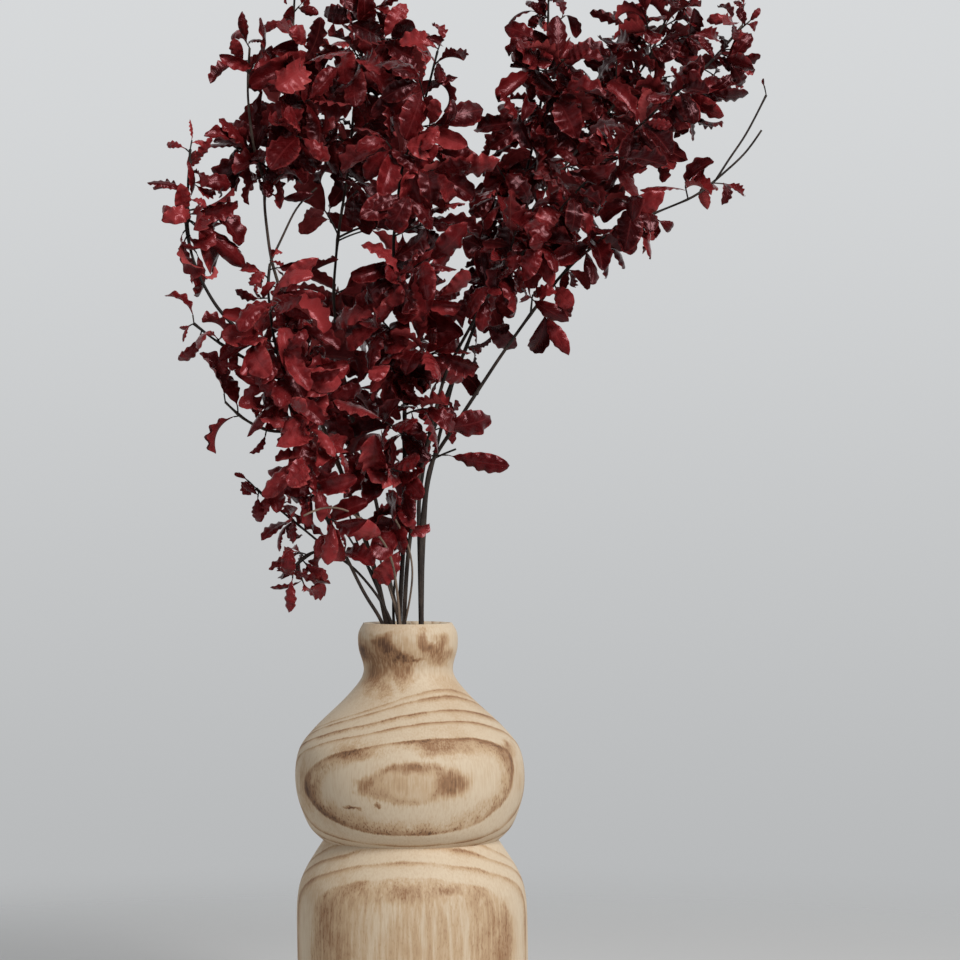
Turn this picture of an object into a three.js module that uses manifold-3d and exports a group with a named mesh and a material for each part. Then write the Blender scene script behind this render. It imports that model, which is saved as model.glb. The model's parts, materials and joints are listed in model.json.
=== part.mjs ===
// Preserved pittosporum: nine dyed leafy stems standing in a turned wooden vase.
// Millimetres, +Z up. The origin is the centre of the vase's flat base, and the viewer is on the -Y side.
import * as THREE from "three";
import { mergeVertices } from "three/addons/utils/BufferGeometryUtils.js";
import Module from "manifold-3d";

const wasm = await Module();
wasm.setup();

// Vase: two turned bulbs under a short neck, bored from the top.
const VASE_HEIGHT = 334;
const VASE_LEAN = 5.2; // how far the rim stands left of the base, as turned by hand
const WAIST_HEIGHT = 163;
const BORE_RADIUS = 26;
const BORE_DEPTH = 184;
const BORE_FLOOR = VASE_HEIGHT - BORE_DEPTH;
const VASE_SIDES = 30;
const LOWER_ROWS = 7;
const UPPER_ROWS = 11;
// Outside of the bulbs as radius and height, from the base up to the waist and from the waist up to the lip.
const LOWER_BULB = [[77, 0], [85, 12], [90, 42], [91, 85], [90, 119], [84, 139], [69, WAIST_HEIGHT]];
const UPPER_BULB = [
  [69, WAIST_HEIGHT], [81, 176], [90, 204], [88, 232], [75, 251], [48, 277], [35.5, 295], [39, 314],
  [39, 326], [35, VASE_HEIGHT],
];
const MOUTH_CHAMFER = 3;

// Wood of the stems.
const CUT_END_GAP = 0.6; // between a stem's cut end and the floor of the bore
const STEM_SIDES = 5;
const STEM_TIP_RADIUS = 1.1;
const BRANCH_SIDES = 4;
const TWIG_RADIUS = 0.95; // half the thickness of a square twig where it leaves its stem
const TWIG_TIP_RADIUS = 0.6;
const TWIG_SHARE = 0.5; // a twig's thickness is at most this share of its stem's
const TWIG_LIFT = 0.06; // how far a twig bows upwards, as a share of its length
const SHORT_TWIG = 11; // a twig whose spray has no room for more
const LONG_TWIG = 55; // a twig longer than this is bowed, a shorter one straight
const WOOD_CLEARANCE = 1.2; // kept between the wood of two stems
const BEND_STEP = 9; // how much further a twig is bent when it would meet another stem
const BEND_TRIES = 8;
const PROBE_STEP = 3; // along a shoot, between the points tested for clearance

// Leaves: wavy blades, wedge-shaped at the root, crowded towards the twig's end.
const LEAF_LENGTH = 41;
const SMALL_LEAF = 0.6; // a leaf where its spray is short, as a share of that length
const LEAF_WIDTH = 0.47; // as a share of the length
const LEAF_THICKNESS = 0.8;
const LEAF_WAVE = 0.13; // height of the edge's waves, as a share of the width
const LEAF_FOLD = 0.22; // how far the edges rise above the midrib, as a share of the width
const LEAF_SPACING = 5; // along a twig, between one leaf and the next
const LEAF_REACH = 0.95; // share of a leaf's length left past a twig for its end leaf
const LEAF_DROOP = 0.12; // how far a leaf's direction sinks under its weight
const LEAF_STATIONS = [[0.3, 0.76], [0.57, 1], [0.83, 0.72]]; // share of the length, and of the width there
const LEAF_PROBES = [[0.12, 0.35], [0.28, 0.75], [0.45, 0.95], [0.62, 1], [0.8, 0.8], [0.98, 0.4]];
const PROBE_SIDE = 0.28; // how far aside of the midrib those points are, as a share of the width
const LENGTH_SPREAD = [0.78, 1.22];
const WIDTH_SPREAD = [0.88, 1.12];
const LEAF_CURL = [0.25, 1.05]; // how far a blade arches back, in radians
const END_SPLAY = [0, 0.25]; // how far a leaf leaves its twig's direction, in radians
const SIDE_SPLAY = [0.85, 1.25];
const SIDE_TWIST = [-0.6, 0.6];
const SIDE_FACE_LIFT = 0.6; // how far a side leaf's face turns to the twig's end
const HIGHEST_LEAF = 0.96; // where the leaves below the end one start, as a share of the twig
const LOWEST_LEAF = 0.2;
const LEAF_ORDER = [0, 2, 4]; // which leaves of a twig are built, counted from its end
const SIDE_LEAF_SHARE = 0.19; // how many of the leaves below a twig's end are built
const LIGHT_SIDE = new THREE.Vector3(0, -0.94, 0.34); // where the upper faces turn
const FACE_TWIST = 2.4; // how far round its twig an end leaf may face, from one side to the other
const TURN_STEP = 0.8; // how much further an end leaf is turned when it would meet another
const QUARTER_ORDER = [0, 2, 1, 3]; // which side of its twig each leaf in turn stands on
const TURN_TRIES = [0, 1, 2, 3]; // turns tried for a leaf that would meet another
const OWN_STEM_CLEARANCE = 0.75; // leaves of one stem may stand closer together than leaves of two
const SEED = 11;

const LEAF_COLOUR = 0x6a1519;
const WOOD_COLOUR = 0xd9bf98;

// Each stem's route starts at its cut end in the bore and passes the vase's mouth at its second point.
// A spray leaves the route at a knot number and names the point that its foliage reaches.
// A fifth number scales its leaves, and a sixth is the most leaves it carries.
// A branch is a longer side shoot with a route and sprays of its own.
const STEMS = [
  {
    name: "stem_right_low",
    radius: 3,
    route: [
      [8, -6, 150], [5.7, -5, 334], [4.5, -10, 398], [12, -18, 459], [37, -29, 496], [68, -42, 543],
      [94, -52, 579], [119, -60, 610], [147, -65, 633], [183, -62, 651], [220, -58, 666],
      [236, -56, 680],
    ],
    sprays: [
      [5.9, 93, -110, 600, 0.9, 4], [6.2, 112, -75, 548, 0.9, 2], [6.6, 112, -95, 590, 0.9, 4],
      [7, 125, -29, 604, 0.9, 5], [7.4, 151, -114, 648, 1, 8], [7.8, 163, -23, 650, 0.9, 5],
      [8.2, 181, -104, 656, 1, 4], [8.6, 173, -124, 676], [9, 180, -44, 640, 0.8, 2],
      [9, 204, -72, 637, 1.5, 1], [9.8, 205, -91, 690, 0.8, 3], [10.2, 226, -39, 690, 0.8, 4],
      [10.7, 262, -65, 674, 0.8, 2],
    ],
    branches: [
      {
        at: 10.9,
        radius: 0.9,
        route: [[248, -54, 700], [256, -53, 710], [266, -51, 729], [274, -50, 745]],
        sprays: [[4, 271, -48, 760, 0.4, 1]],
      },
      {
        at: 10.8,
        radius: 0.9,
        route: [[257, -64, 698], [265, -65, 710], [269, -66, 716]],
        sprays: [],
      },
    ],
  },
  {
    name: "stem_right_front",
    radius: 2.3,
    route: [
      [3, 1, 150], [-8, -13, 334], [-5.3, -21, 380], [2, -34, 440], [25, -52, 530], [59, -70, 590],
      [102, -81, 640], [147, -83, 690], [192, -75, 735], [232, -65, 770], [255, -57, 798],
    ],
    sprays: [
      [4.8, 75, -124, 618, 1, 6], [5.3, 85, -114, 662], [5.7, 109, -140, 628], [6.2, 129, -143, 668],
      [6.6, 165, -42, 664], [7, 175, -140, 690], [7.4, 189, -135, 728], [7.6, 203, -40, 686],
      [8, 219, -130, 752], [8.2, 232, -62, 714], [8.5, 247, -104, 732, 0.9, 4],
      [8.8, 259, -36, 746, 0.9, 5], [9.1, 266, -94, 760, 0.85, 5], [9.3, 270, -52, 780, 0.75, 3],
      [9.6, 269, -81, 808, 0.5, 3], [9.8, 237, -91, 812, 0.7, 4], [10, 257, -52, 830, 0.5, 3],
      [9, 238, -70, 778, 0.9, 5], [9.2, 270, -60, 762, 0.7, 2], [8.4, 236, -95, 724, 1, 6],
      [8.3, 226, -80, 706, 1, 5], [8.2, 246, -75, 703, 1.2, 1], [8.6, 244, -78, 730, 1.2, 1],
    ],
  },
  {
    name: "stem_right_back",
    radius: 2.3,
    route: [
      [7, 6, 150], [5.5, 13, 334], [6, 24, 380], [9, 31, 440], [31, 44, 530], [63, 60, 610],
      [102, 73, 680], [147, 78, 735], [187, 75, 785], [209, 68, 835],
    ],
    sprays: [
      [4.7, 71, 130, 622, 1, 8], [5.2, 89, 146, 676], [5.6, 151, 125, 652], [6, 119, 146, 748],
      [6.4, 149, 159, 704], [6.7, 195, 138, 706], [7, 139, 138, 800], [7.2, 209, 135, 752],
      [7.1, 143, 25, 788], [7.4, 161, 21, 812], [7.6, 235, 120, 790], [8, 161, 109, 846],
      [8.2, 181, 34, 850], [8.3, 251, 55, 816, 0.8], [8.6, 243, 99, 842], [9, 219, 65, 864],
    ],
  },
  {
    name: "stem_right_upright",
    radius: 2.6,
    route: [
      [-3, 3, 150], [5.5, 4.5, 334], [4, 5, 398], [3, 11, 430], [9, 18, 471], [25, 23, 514],
      [41, 29, 553], [55, 34, 589], [67, 39, 624], [83, 42, 668], [98, 39, 731], [106, 34, 786],
      [107, 31, 838],
    ],
    sprays: [
      [4.6, 39, 8, 506], [5.4, 13, 73, 540, 1, 5], [6, 67, 52, 556, 0.8, 4], [6.6, 73, -3, 564, 0.8, 3],
      [7.3, 77, -29, 632], [7.6, 101, 91, 628, 1, 8], [8, 49, 86, 668], [8.4, 103, -13, 684],
      [8.7, 55, -47, 684], [9, 53, -18, 716], [9.4, 123, -21, 722], [9.7, 75, -52, 740],
      [10, 129, -34, 768], [10.3, 63, 26, 742], [10.6, 136, -10, 800], [10.8, 74, -18, 768],
      [11.2, 80, 3, 800], [11.4, 137, 57, 838, 0.8, 2], [11.6, 79, 21, 830, 0.8], [12, 109, 29, 864],
      [10.9, 139, 5, 786, 0.8, 3],
    ],
  },
  {
    name: "stem_centre",
    radius: 2.7,
    route: [
      [-9, -1, 150], [-12, -4, 334], [-8, -10, 400], [-7, -18, 450], [-7, -26, 510], [-11, -34, 570],
      [-16, -39, 630], [-9, -44, 690], [9, -47, 740], [19, -44, 780],
    ],
    sprays: [
      [2.2, -22, -55, 410, 1, 4], [2.5, -25, -68, 430, 1, 4], [2.8, -1, -73, 456, 1, 3],
      [3, -31, -81, 462], [3.2, 62, -60, 470, 1.05, 1], [2.4, -6, -48, 404, 0.7, 1],
      [3.5, -35, -94, 502], [3.8, 31, -86, 506], [4.1, -25, -104, 548], [4.4, 25, -109, 556],
      [4.6, 27, -80, 566, 0.9, 5], [4.7, -37, -114, 584], [5, 43, -91, 602], [5.2, -9, -135, 612],
      [5.5, 29, -127, 624], [5.8, -21, -112, 612, 1, 2], [6.1, 47, -86, 654], [6.4, 5, -135, 668, 1, 7],
      [6.7, 35, -125, 690], [7, -31, -112, 722], [7.3, 37, -10, 706], [7.5, 50, -75, 674, 1, 6],
      [7.6, 47, -101, 718], [8, 1, -107, 772], [8.4, 33, -18, 764, 1, 3], [8.7, 37, -70, 788, 1, 4],
      [9, 31, -47, 812, 1, 4], [2, -20, -36, 366, 1, 1], [2.3, -16, -50, 394, 1, 3],
      [3.4, 56, -60, 503, 1.1, 1], [4.5, 42, -84, 548, 0.9, 4], [5.4, 36, -60, 618, 1, 5],
      [7.2, 44, -40, 664, 1, 4],
    ],
  },
  {
    name: "stem_left_back",
    radius: 2.3,
    route: [
      [11, 16, 150], [-12, 14, 334], [-22, 24, 374], [-31, 36, 430], [-49, 47, 490], [-62, 55, 550],
      [-67, 57, 597], [-63, 57, 645], [-54, 55, 700], [-49, 49, 755], [-41, 44, 803], [-33, 42, 838],
    ],
    sprays: [
      [3.4, -11, 86, 472], [4, -65, 112, 512], [4.5, -15, 104, 524], [5, -91, 117, 562],
      [5.5, -31, 107, 572], [6, -37, 133, 612], [6.9, -11, 125, 664, 1, 2], [7, -87, 125, 690, 1, 5],
      [7.4, -31, -10, 690, 1, 6], [7.7, -5, 120, 716], [8, -91, 107, 738], [8.2, -75, -18, 738],
      [8.4, -19, -3, 746], [8.7, -7, 104, 766], [9, -53, 125, 794], [9.2, -33, -26, 792],
      [9.4, 1, 5, 782], [9.9, 3, -20, 797, 1, 5], [9.7, -83, 55, 800], [10, -1, 55, 804],
      [10.3, -67, 18, 826], [10.6, -7, 21, 842], [11, -27, 39, 864], [9.6, -62, -20, 806, 1, 3],
    ],
  },
  {
    name: "stem_left_tall",
    radius: 3,
    route: [
      [6, 15, 150], [-22, 5, 334], [-30, 3, 372], [-45, -5, 420], [-61, -10, 463], [-74, -13, 494],
      [-86, -13, 534], [-98, -13, 573], [-113, -10, 621], [-119, -5, 668], [-115, 0, 700],
      [-101, 5, 731], [-95, 8, 763], [-97, 10, 800], [-95, 10, 836],
    ],
    sprays: [
      [4, -41, -57, 476], [4.6, -95, 47, 494, 1, 5], [5.2, -51, -65, 524], [5.6, -115, 55, 534],
      [6.2, -53, 39, 562], [6.8, -121, 65, 594], [7.4, -69, -60, 606, 1, 5], [9.2, -78, -40, 655, 1, 1],
      [9.3, -81, -55, 698, 1, 4], [9.4, -104, -45, 684, 0.8, 1], [9.6, -147, -8, 676],
      [9.8, -169, -29, 728], [10.2, -139, 65, 738], [10.4, -150, -10, 738, 0.9, 4],
      [10.6, -71, -78, 708], [11, -79, 81, 758], [11.4, -65, -70, 742], [12, -105, 81, 792],
      [12.2, -77, -65, 772], [12.5, -135, 47, 790, 1, 4], [12.8, -68, -31, 800, 1, 5],
      [13.2, -123, -16, 818, 1, 2], [13.5, -75, -5, 840, 1, 2], [14, -93, 10, 864],
    ],
    branches: [
      {
        at: 9.4,
        radius: 1.5,
        route: [[-127, -13, 710], [-131, -18, 752], [-129, -18, 786]],
        sprays: [
          [2.7, -160, -34, 774, 1.2, 3], [3, -145, -13, 814, 1, 3], [2.4, -105, -44, 796, 1.2, 4],
          [0.6, -158, -36, 700, 1, 3],
        ],
      },
    ],
  },
  {
    name: "stem_left_front",
    radius: 2.1,
    route: [
      [2, -10, 150], [-23.5, -8.5, 334], [-38, -22, 356], [-48, -36, 378], [-60, -53, 404],
      [-75, -65, 434], [-87, -73, 475], [-98, -78, 520], [-107, -81, 560], [-111, -81, 596],
      [-109, -78, 612],
    ],
    sprays: [
      [4.4, -45, -109, 412], [5, -95, -101, 432], [5.3, -59, -114, 436], [5.7, -77, -135, 458, 1, 5],
      [6.1, -59, -127, 494], [6.4, -98, -122, 500, 1, 1], [6.7, -87, -153, 504], [7, -133, -99, 516],
      [7.2, -59, -133, 528], [7.5, -87, -159, 548], [7.8, -139, -130, 552], [8, -59, -120, 562],
      [8.4, -93, -151, 584], [8.7, -133, -100, 584, 0.8, 3], [9, -75, -120, 580, 1, 2],
      [9.3, -127, -99, 616, 0.7, 3], [9.7, -80, -99, 614, 1, 2], [10, -101, -78, 632, 0.7, 3],
    ],
    branches: [
      {
        at: 7.6,
        radius: 1.7,
        route: [
          [-128, -83, 556], [-149, -81, 577], [-163, -75, 601], [-171, -70, 622], [-175, -65, 648],
          [-173, -62, 676], [-172, -58, 702],
        ],
        sprays: [
          [3.3, -150, -60, 596, 1, 2], [4.2, -140, -70, 594, 1.3, 1], [4.5, -186, -84, 608, 1.4, 2],
          [4.6, -160, -92, 618, 1.2, 1], [5, -131, -80, 614, 1.3, 2], [5.2, -129, -62, 664, 1, 2],
          [5.1, -140, -90, 652, 1.3, 2], [5.1, -190, -82, 659, 1.3, 2], [5.4, -160, -72, 684, 1.2, 2],
          [5.6, -184, -80, 684, 1.1, 2], [6.5, -160, -56, 712, 1, 2], [6.9, -184, -60, 710, 0.7, 1],
          [6.2, -162, -80, 690, 1, 1], [7, -168, -58, 724, 0.6, 2], [6, -146, -56, 668, 1.2, 2],
          [5.05, -160, -85, 660, 1.2, 1], [4.7, -192, -78, 616, 1.5, 1], [5, -126, -76, 622, 1.3, 1],
          [5.2, -120, -70, 660, 1.2, 1],
        ],
      },
      {
        at: 7.1,
        radius: 1.3,
        route: [[-129, -86, 540], [-151, -83, 553], [-167, -81, 566]],
        sprays: [
          [1.8, -158, -95, 572, 1.2, 2], [2.6, -168, -86, 540, 1.2, 1], [3, -172, -84, 606, 1.4, 1],
          [1.6, -140, -100, 580, 1.3, 2], [1.4, -150, -92, 526, 1.3, 2], [1.2, -130, -100, 562, 1.1, 2],
          [3, -178, -90, 560, 0.7, 2],
        ],
      },
      {
        at: 6.2,
        radius: 1.3,
        route: [[-107, -83, 482], [-129, -83, 492], [-143, -81, 506]],
        sprays: [
          [3, -148, -84, 542, 1.3, 1], [2.3, -134, -86, 526, 1.1, 1], [2.2, -156, -84, 494, 1.2, 1],
          [1.2, -114, -100, 466, 1.1, 1], [1.6, -104, -90, 506, 1.2, 2],
        ],
      },
    ],
  },
  {
    name: "stem_left_low",
    radius: 1.9,
    route: [
      [8, -14, 150], [-16, -14, 334], [-28, -18, 356], [-46, -26, 378], [-66, -36, 392],
      [-82, -44, 406], [-98, -52, 419], [-110, -57, 430], [-121, -60, 440],
    ],
    sprays: [
      [3.5, -47, -60, 408], [4.1, -60, -72, 430, 1, 3], [5.6, -95, -86, 424],
      [6.6, -80, -40, 440, 0.8, 1], [7.3, -103, -83, 452, 1, 3], [7.8, -119, -86, 424, 0.6, 2],
      [8, -140, -60, 458, 0.5, 2],
    ],
    branches: [
      {
        at: 4.1,
        radius: 1.2,
        route: [[-83, -42, 390], [-93, -44, 378]],
        sprays: [
          [1, -115, -39, 390, 1, 3], [1.4, -65, -57, 362, 1, 3], [2, -95, -52, 346, 0.9, 4],
          [1.8, -77, -29, 344, 0.6, 3], [1.2, -106, -45, 400, 0.9, 2],
        ],
      },
    ],
  },
];

// A repeatable number from 0 to 1 for one leaf, one for each use of it.
function draw(stem, spray, site, use) {
  const x = Math.sin(SEED + stem * 12.9898 + spray * 78.233 + site * 37.719 + use * 4.581) * 43758.5453;
  return x - Math.floor(x);
}

function vector([x, y, z]) {
  return new THREE.Vector3(x, y, z);
}

// A closed geometry as a solid that can be joined to others.
function solid(geometry) {
  return new wasm.Manifold(
    new wasm.Mesh({
      numProp: 3,
      vertProperties: new Float32Array(geometry.getAttribute("position").array),
      triVerts: new Uint32Array(geometry.index.array),
    }),
  );
}

function geometryOf(points, triangles) {
  const geometry = new THREE.BufferGeometry();
  geometry.setAttribute("position", new THREE.Float32BufferAttribute(points.flatMap((p) => p.toArray()), 3));
  geometry.setIndex(triangles.flat());
  return geometry;
}

// A closed tube with a ring at every knot of a route, tapering from one radius to the other.
function taperedTube(route, sides, startRadius, endRadius) {
  const curve = routeCurve(route);
  const steps = route.length - 1;
  const normal = new THREE.Vector3(0, 1, 0);
  const points = [];
  const triangles = [];
  for (let i = 0; i <= steps; i++) {
    const tangent = curve.getTangent(i / steps);
    normal.addScaledVector(tangent, -normal.dot(tangent)).normalize();
    const binormal = new THREE.Vector3().crossVectors(tangent, normal);
    const radius = THREE.MathUtils.lerp(startRadius, endRadius, i / steps);
    for (let j = 0; j < sides; j++) {
      const angle = (2 * Math.PI * j) / sides;
      points.push(
        route[i].clone()
          .addScaledVector(normal, radius * Math.cos(angle))
          .addScaledVector(binormal, radius * Math.sin(angle)),
      );
    }
  }
  for (let i = 0; i < steps; i++) {
    for (let j = 0; j < sides; j++) {
      const a = i * sides + j;
      const b = i * sides + ((j + 1) % sides);
      triangles.push([a, b, b + sides], [a, b + sides, a + sides]);
    }
  }
  const last = steps * sides;
  for (let j = 1; j < sides - 1; j++) {
    triangles.push([0, j + 1, j], [last, last + j, last + j + 1]);
  }
  return geometryOf(points, triangles);
}

// A closed skin over four-cornered rings: left top, right top, right bottom, left bottom.
// A ring of two points, top and bottom, is an edge.
function loft(rings) {
  const points = rings.flat();
  const triangles = [];
  let first = 0;
  const corners = rings.map((ring) => {
    const at = first;
    first += ring.length;
    return ring.length === 2 ? [at, at, at + 1, at + 1] : [at, at + 1, at + 2, at + 3];
  });
  const [a, b, c, d] = corners[0];
  triangles.push([a, c, b], [a, d, c]);
  for (let i = 0; i + 1 < corners.length; i++) {
    for (let j = 0; j < 4; j++) {
      const k = (j + 1) % 4;
      const [p, q, r, s] = [corners[i][j], corners[i][k], corners[i + 1][k], corners[i + 1][j]];
      const underside = j === 2;
      triangles.push(...(underside ? [[p, q, s], [q, r, s]] : [[p, q, r], [p, r, s]]));
    }
  }
  return geometryOf(points, triangles.filter(([p, q, r]) => p !== q && q !== r && r !== p));
}

function routeCurve(route) {
  return new THREE.CatmullRomCurve3(route, false, "catmullrom");
}

// The point at a knot number of a route, on the straight line between two knots.
function routePoint(route, knot) {
  const first = Math.min(Math.floor(knot), route.length - 2);
  return route[first].clone().lerp(route[first + 1], knot - first);
}

// Points along a shoot's wood, each with the radius that other stems keep clear of.
function woodProbes(place, length, radius, tipRadius) {
  const count = Math.max(4, Math.ceil(length / PROBE_STEP));
  return Array.from({ length: count + 1 }, (_, i) => {
    return { at: place(i / count), reach: THREE.MathUtils.lerp(radius, tipRadius, i / count) };
  });
}

// A shoot that follows a route, with the sprays it carries.
function shoot(route, radius, sides, sprays) {
  const knots = route.length - 1;
  const length = route.slice(1).reduce((sum, point, i) => sum + point.distanceTo(route[i]), 0);
  const tipRadius = Math.min(radius, STEM_TIP_RADIUS);
  const probes = woodProbes((share) => routePoint(route, share * knots), length, radius, tipRadius);
  return { route, knots, radius, tipRadius, sides, sprays, probes };
}

function meets(probes, others, share) {
  return probes.some((p) => others.some((o) => p.at.distanceTo(o.at) < share * (p.reach + o.reach)));
}

// The twig of one spray, bent sideways in steps until it is clear of the other stems' wood.
function sprayTwig(parent, row, otherWood) {
  const [at, x, y, z, leafSize = 1, leafLimit = Infinity] = row;
  const start = routePoint(parent.route, at);
  const parentRadius = THREE.MathUtils.lerp(parent.radius, parent.tipRadius, at / parent.knots);
  const radius = Math.min(TWIG_RADIUS, TWIG_SHARE * parentRadius);
  for (let attempt = 0; attempt < BEND_TRIES; attempt++) {
    const bend = BEND_STEP * Math.ceil(attempt / 2) * (attempt % 2 ? 1 : -1);
    const reach = new THREE.Vector3(x, y + bend, z);
    const whole = reach.distanceTo(start);
    const fit = whole / (LEAF_REACH * LEAF_LENGTH * leafSize + SHORT_TWIG);
    const size = leafSize * THREE.MathUtils.clamp(fit, SMALL_LEAF, 1);
    const length = Math.max(SHORT_TWIG * Math.min(fit, 1), whole - LEAF_REACH * LEAF_LENGTH * size);
    const end = start.clone().lerp(reach, length / whole);
    const middle = start.clone().lerp(end, 0.5).add(new THREE.Vector3(0, 0, TWIG_LIFT * length));
    const curve = new THREE.QuadraticBezierCurve3(start, middle, end);
    const place = (share) => curve.getPoint(share);
    const probes = woodProbes(place, length, Math.SQRT2 * radius, Math.SQRT2 * TWIG_TIP_RADIUS);
    const guarded = probes.map((p) => ({ at: p.at, reach: p.reach + WOOD_CLEARANCE }));
    if (meets(guarded, otherWood, 1)) continue;
    const axis = length > LONG_TWIG ? [start, curve.getPoint(0.5), end] : [start, end];
    return { curve, axis, length, radius, tipRadius: TWIG_TIP_RADIUS, size, leafLimit, probes };
  }
  return null;
}

// The way that a twig's end leaf faces: towards the light at the front, turned about the twig by chance.
function facingOf(twig, stem, spray, turn) {
  const chord = twig.axis.at(-1).clone().sub(twig.axis[0]).normalize();
  const light = Math.abs(chord.dot(LIGHT_SIDE)) < 0.8 ? LIGHT_SIDE.clone() : new THREE.Vector3(0, 0, 1);
  const twist = FACE_TWIST * (draw(stem, spray, 0, 3) - 0.5) + TURN_STEP * turn;
  return light.addScaledVector(chord, -light.dot(chord)).normalize().applyAxisAngle(chord, twist);
}

// A twig's own directions: along it, up towards its facing, and aside.
function twigFrame(twig, share, facing) {
  const tangent = twig.curve.getTangent(share);
  const up = facing.clone().addScaledVector(tangent, -facing.dot(tangent)).normalize();
  return { tangent, up, aside: new THREE.Vector3().crossVectors(up, tangent) };
}

// One leaf: where its blade lies and the points that other leaves keep clear of.
// The leaf at site 0 ends the twig, and each further one stands on one of the twig's four sides.
function leafAt(twig, stem, spray, site, turn) {
  const between = ([low, high], use) => THREE.MathUtils.lerp(low, high, draw(stem, spray, site, use));
  const atEnd = site === 0;
  const along = atEnd ? 1 : Math.max(LOWEST_LEAF, HIGHEST_LEAF - (site * LEAF_SPACING) / twig.length);
  const facing = atEnd ? facingOf(twig, stem, spray, turn) : twig.facing;
  const { tangent, aside, up } = twigFrame(twig, along, facing);
  const quarter = Math.floor(4 * draw(stem, spray, 0, 1)) + QUARTER_ORDER[site % 4] + turn;
  const outward = [aside, up, aside.clone().negate(), up.clone().negate()][quarter % 4];
  const splay = between(atEnd ? END_SPLAY : SIDE_SPLAY, 2);
  const direction = tangent.clone().multiplyScalar(Math.cos(splay)).addScaledVector(outward, Math.sin(splay));
  direction.z -= LEAF_DROOP;
  direction.normalize();
  const face = facing.clone();
  if (!atEnd) face.addScaledVector(tangent, SIDE_FACE_LIFT).applyAxisAngle(direction, between(SIDE_TWIST, 3));
  face.addScaledVector(direction, -face.dot(direction)).normalize();
  const length = LEAF_LENGTH * twig.size * between(LENGTH_SPREAD, 4);
  const width = length * LEAF_WIDTH * between(WIDTH_SPREAD, 5);
  const curl = between(LEAF_CURL, 6);
  const wave = LEAF_WAVE * width * (draw(stem, spray, site, 7) < 0.5 ? -1 : 1);
  const root = routePoint(twig.axis, along * (twig.axis.length - 1));
  const leaf = { root, direction, face, length, width, curl, wave, twig, site, facing };
  leaf.probes = LEAF_PROBES.flatMap(([share, outline]) =>
    [-PROBE_SIDE, PROBE_SIDE].map((side) => {
      return { at: bladePoint(leaf, share, side * outline, 0), reach: PROBE_SIDE * outline * width };
    }),
  );
  return leaf;
}

// A point of the blade: a share of the way along the arched midrib, a share of the width aside, and a height.
function bladePoint(leaf, share, side, height) {
  const angle = leaf.curl * share;
  const aside = new THREE.Vector3().crossVectors(leaf.face, leaf.direction);
  const normal = leaf.face.clone().multiplyScalar(Math.cos(angle));
  normal.addScaledVector(leaf.direction, Math.sin(angle));
  return leaf.root.clone()
    .addScaledVector(leaf.direction, (leaf.length * Math.sin(angle)) / leaf.curl)
    .addScaledVector(leaf.face, (-leaf.length * (1 - Math.cos(angle))) / leaf.curl)
    .addScaledVector(aside, side * leaf.width)
    .addScaledVector(normal, height);
}

// The blade's rings past its root. Its two long edges wave against each other, and the tip is an edge.
function bladeRings(leaf) {
  const thick = LEAF_THICKNESS / 2;
  const rings = LEAF_STATIONS.map(([share, outline], station) => {
    const half = outline / 2;
    const ripple = leaf.wave * (station % 2 ? 1 : -1);
    const fold = LEAF_FOLD * half * leaf.width;
    return [
      bladePoint(leaf, share, half, fold + ripple + thick),
      bladePoint(leaf, share, -half, fold - ripple + thick),
      bladePoint(leaf, share, -half, fold - ripple - thick),
      bladePoint(leaf, share, half, fold + ripple - thick),
    ];
  });
  return [...rings, [bladePoint(leaf, 1, 0, thick), bladePoint(leaf, 1, 0, -thick)]];
}

// A leaf on a twig's side, whose root is an edge on the twig's axis.
function sideLeaf(leaf) {
  const thick = LEAF_THICKNESS / 2;
  return loft([[bladePoint(leaf, 0, 0, thick), bladePoint(leaf, 0, 0, -thick)], ...bladeRings(leaf)]);
}

// A square twig that runs on into its end leaf's blade, or ends bare.
function twigWithLeaf(twig, leaf) {
  const rings = twig.axis.map((centre, i) => {
    const share = i / (twig.axis.length - 1);
    const { aside, up } = twigFrame(twig, share, twig.facing);
    const half = THREE.MathUtils.lerp(twig.radius, twig.tipRadius, share);
    return [[1, 1], [-1, 1], [-1, -1], [1, -1]].map(([a, u]) =>
      centre.clone().addScaledVector(aside, a * half).addScaledVector(up, u * half),
    );
  });
  if (leaf) return loft([...rings, ...bladeRings(leaf)]);
  return loft([...rings, [rings.at(-1)[0], rings.at(-1)[3]]]);
}

function vaseGeometry() {
  const flat = ([radius, height]) => new THREE.Vector2(radius, height);
  const bulb = (points, rows) => new THREE.SplineCurve(points.map(flat)).getPoints(rows);
  const profile = [
    new THREE.Vector2(0, 0),
    ...bulb(LOWER_BULB, LOWER_ROWS),
    ...bulb(UPPER_BULB, UPPER_ROWS).slice(1),
    new THREE.Vector2(BORE_RADIUS + MOUTH_CHAMFER, VASE_HEIGHT),
    new THREE.Vector2(BORE_RADIUS, VASE_HEIGHT - MOUTH_CHAMFER),
    new THREE.Vector2(BORE_RADIUS, BORE_FLOOR),
    new THREE.Vector2(0, BORE_FLOOR),
  ];
  const lathe = new THREE.LatheGeometry(profile, VASE_SIDES).rotateX(Math.PI / 2);
  lathe.deleteAttribute("normal");
  lathe.deleteAttribute("uv");
  const lean = new THREE.Matrix4().makeShear(0, 0, 0, 0, -VASE_LEAN / VASE_HEIGHT, 0);
  return mergeVertices(lathe.applyMatrix4(lean));
}

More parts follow.
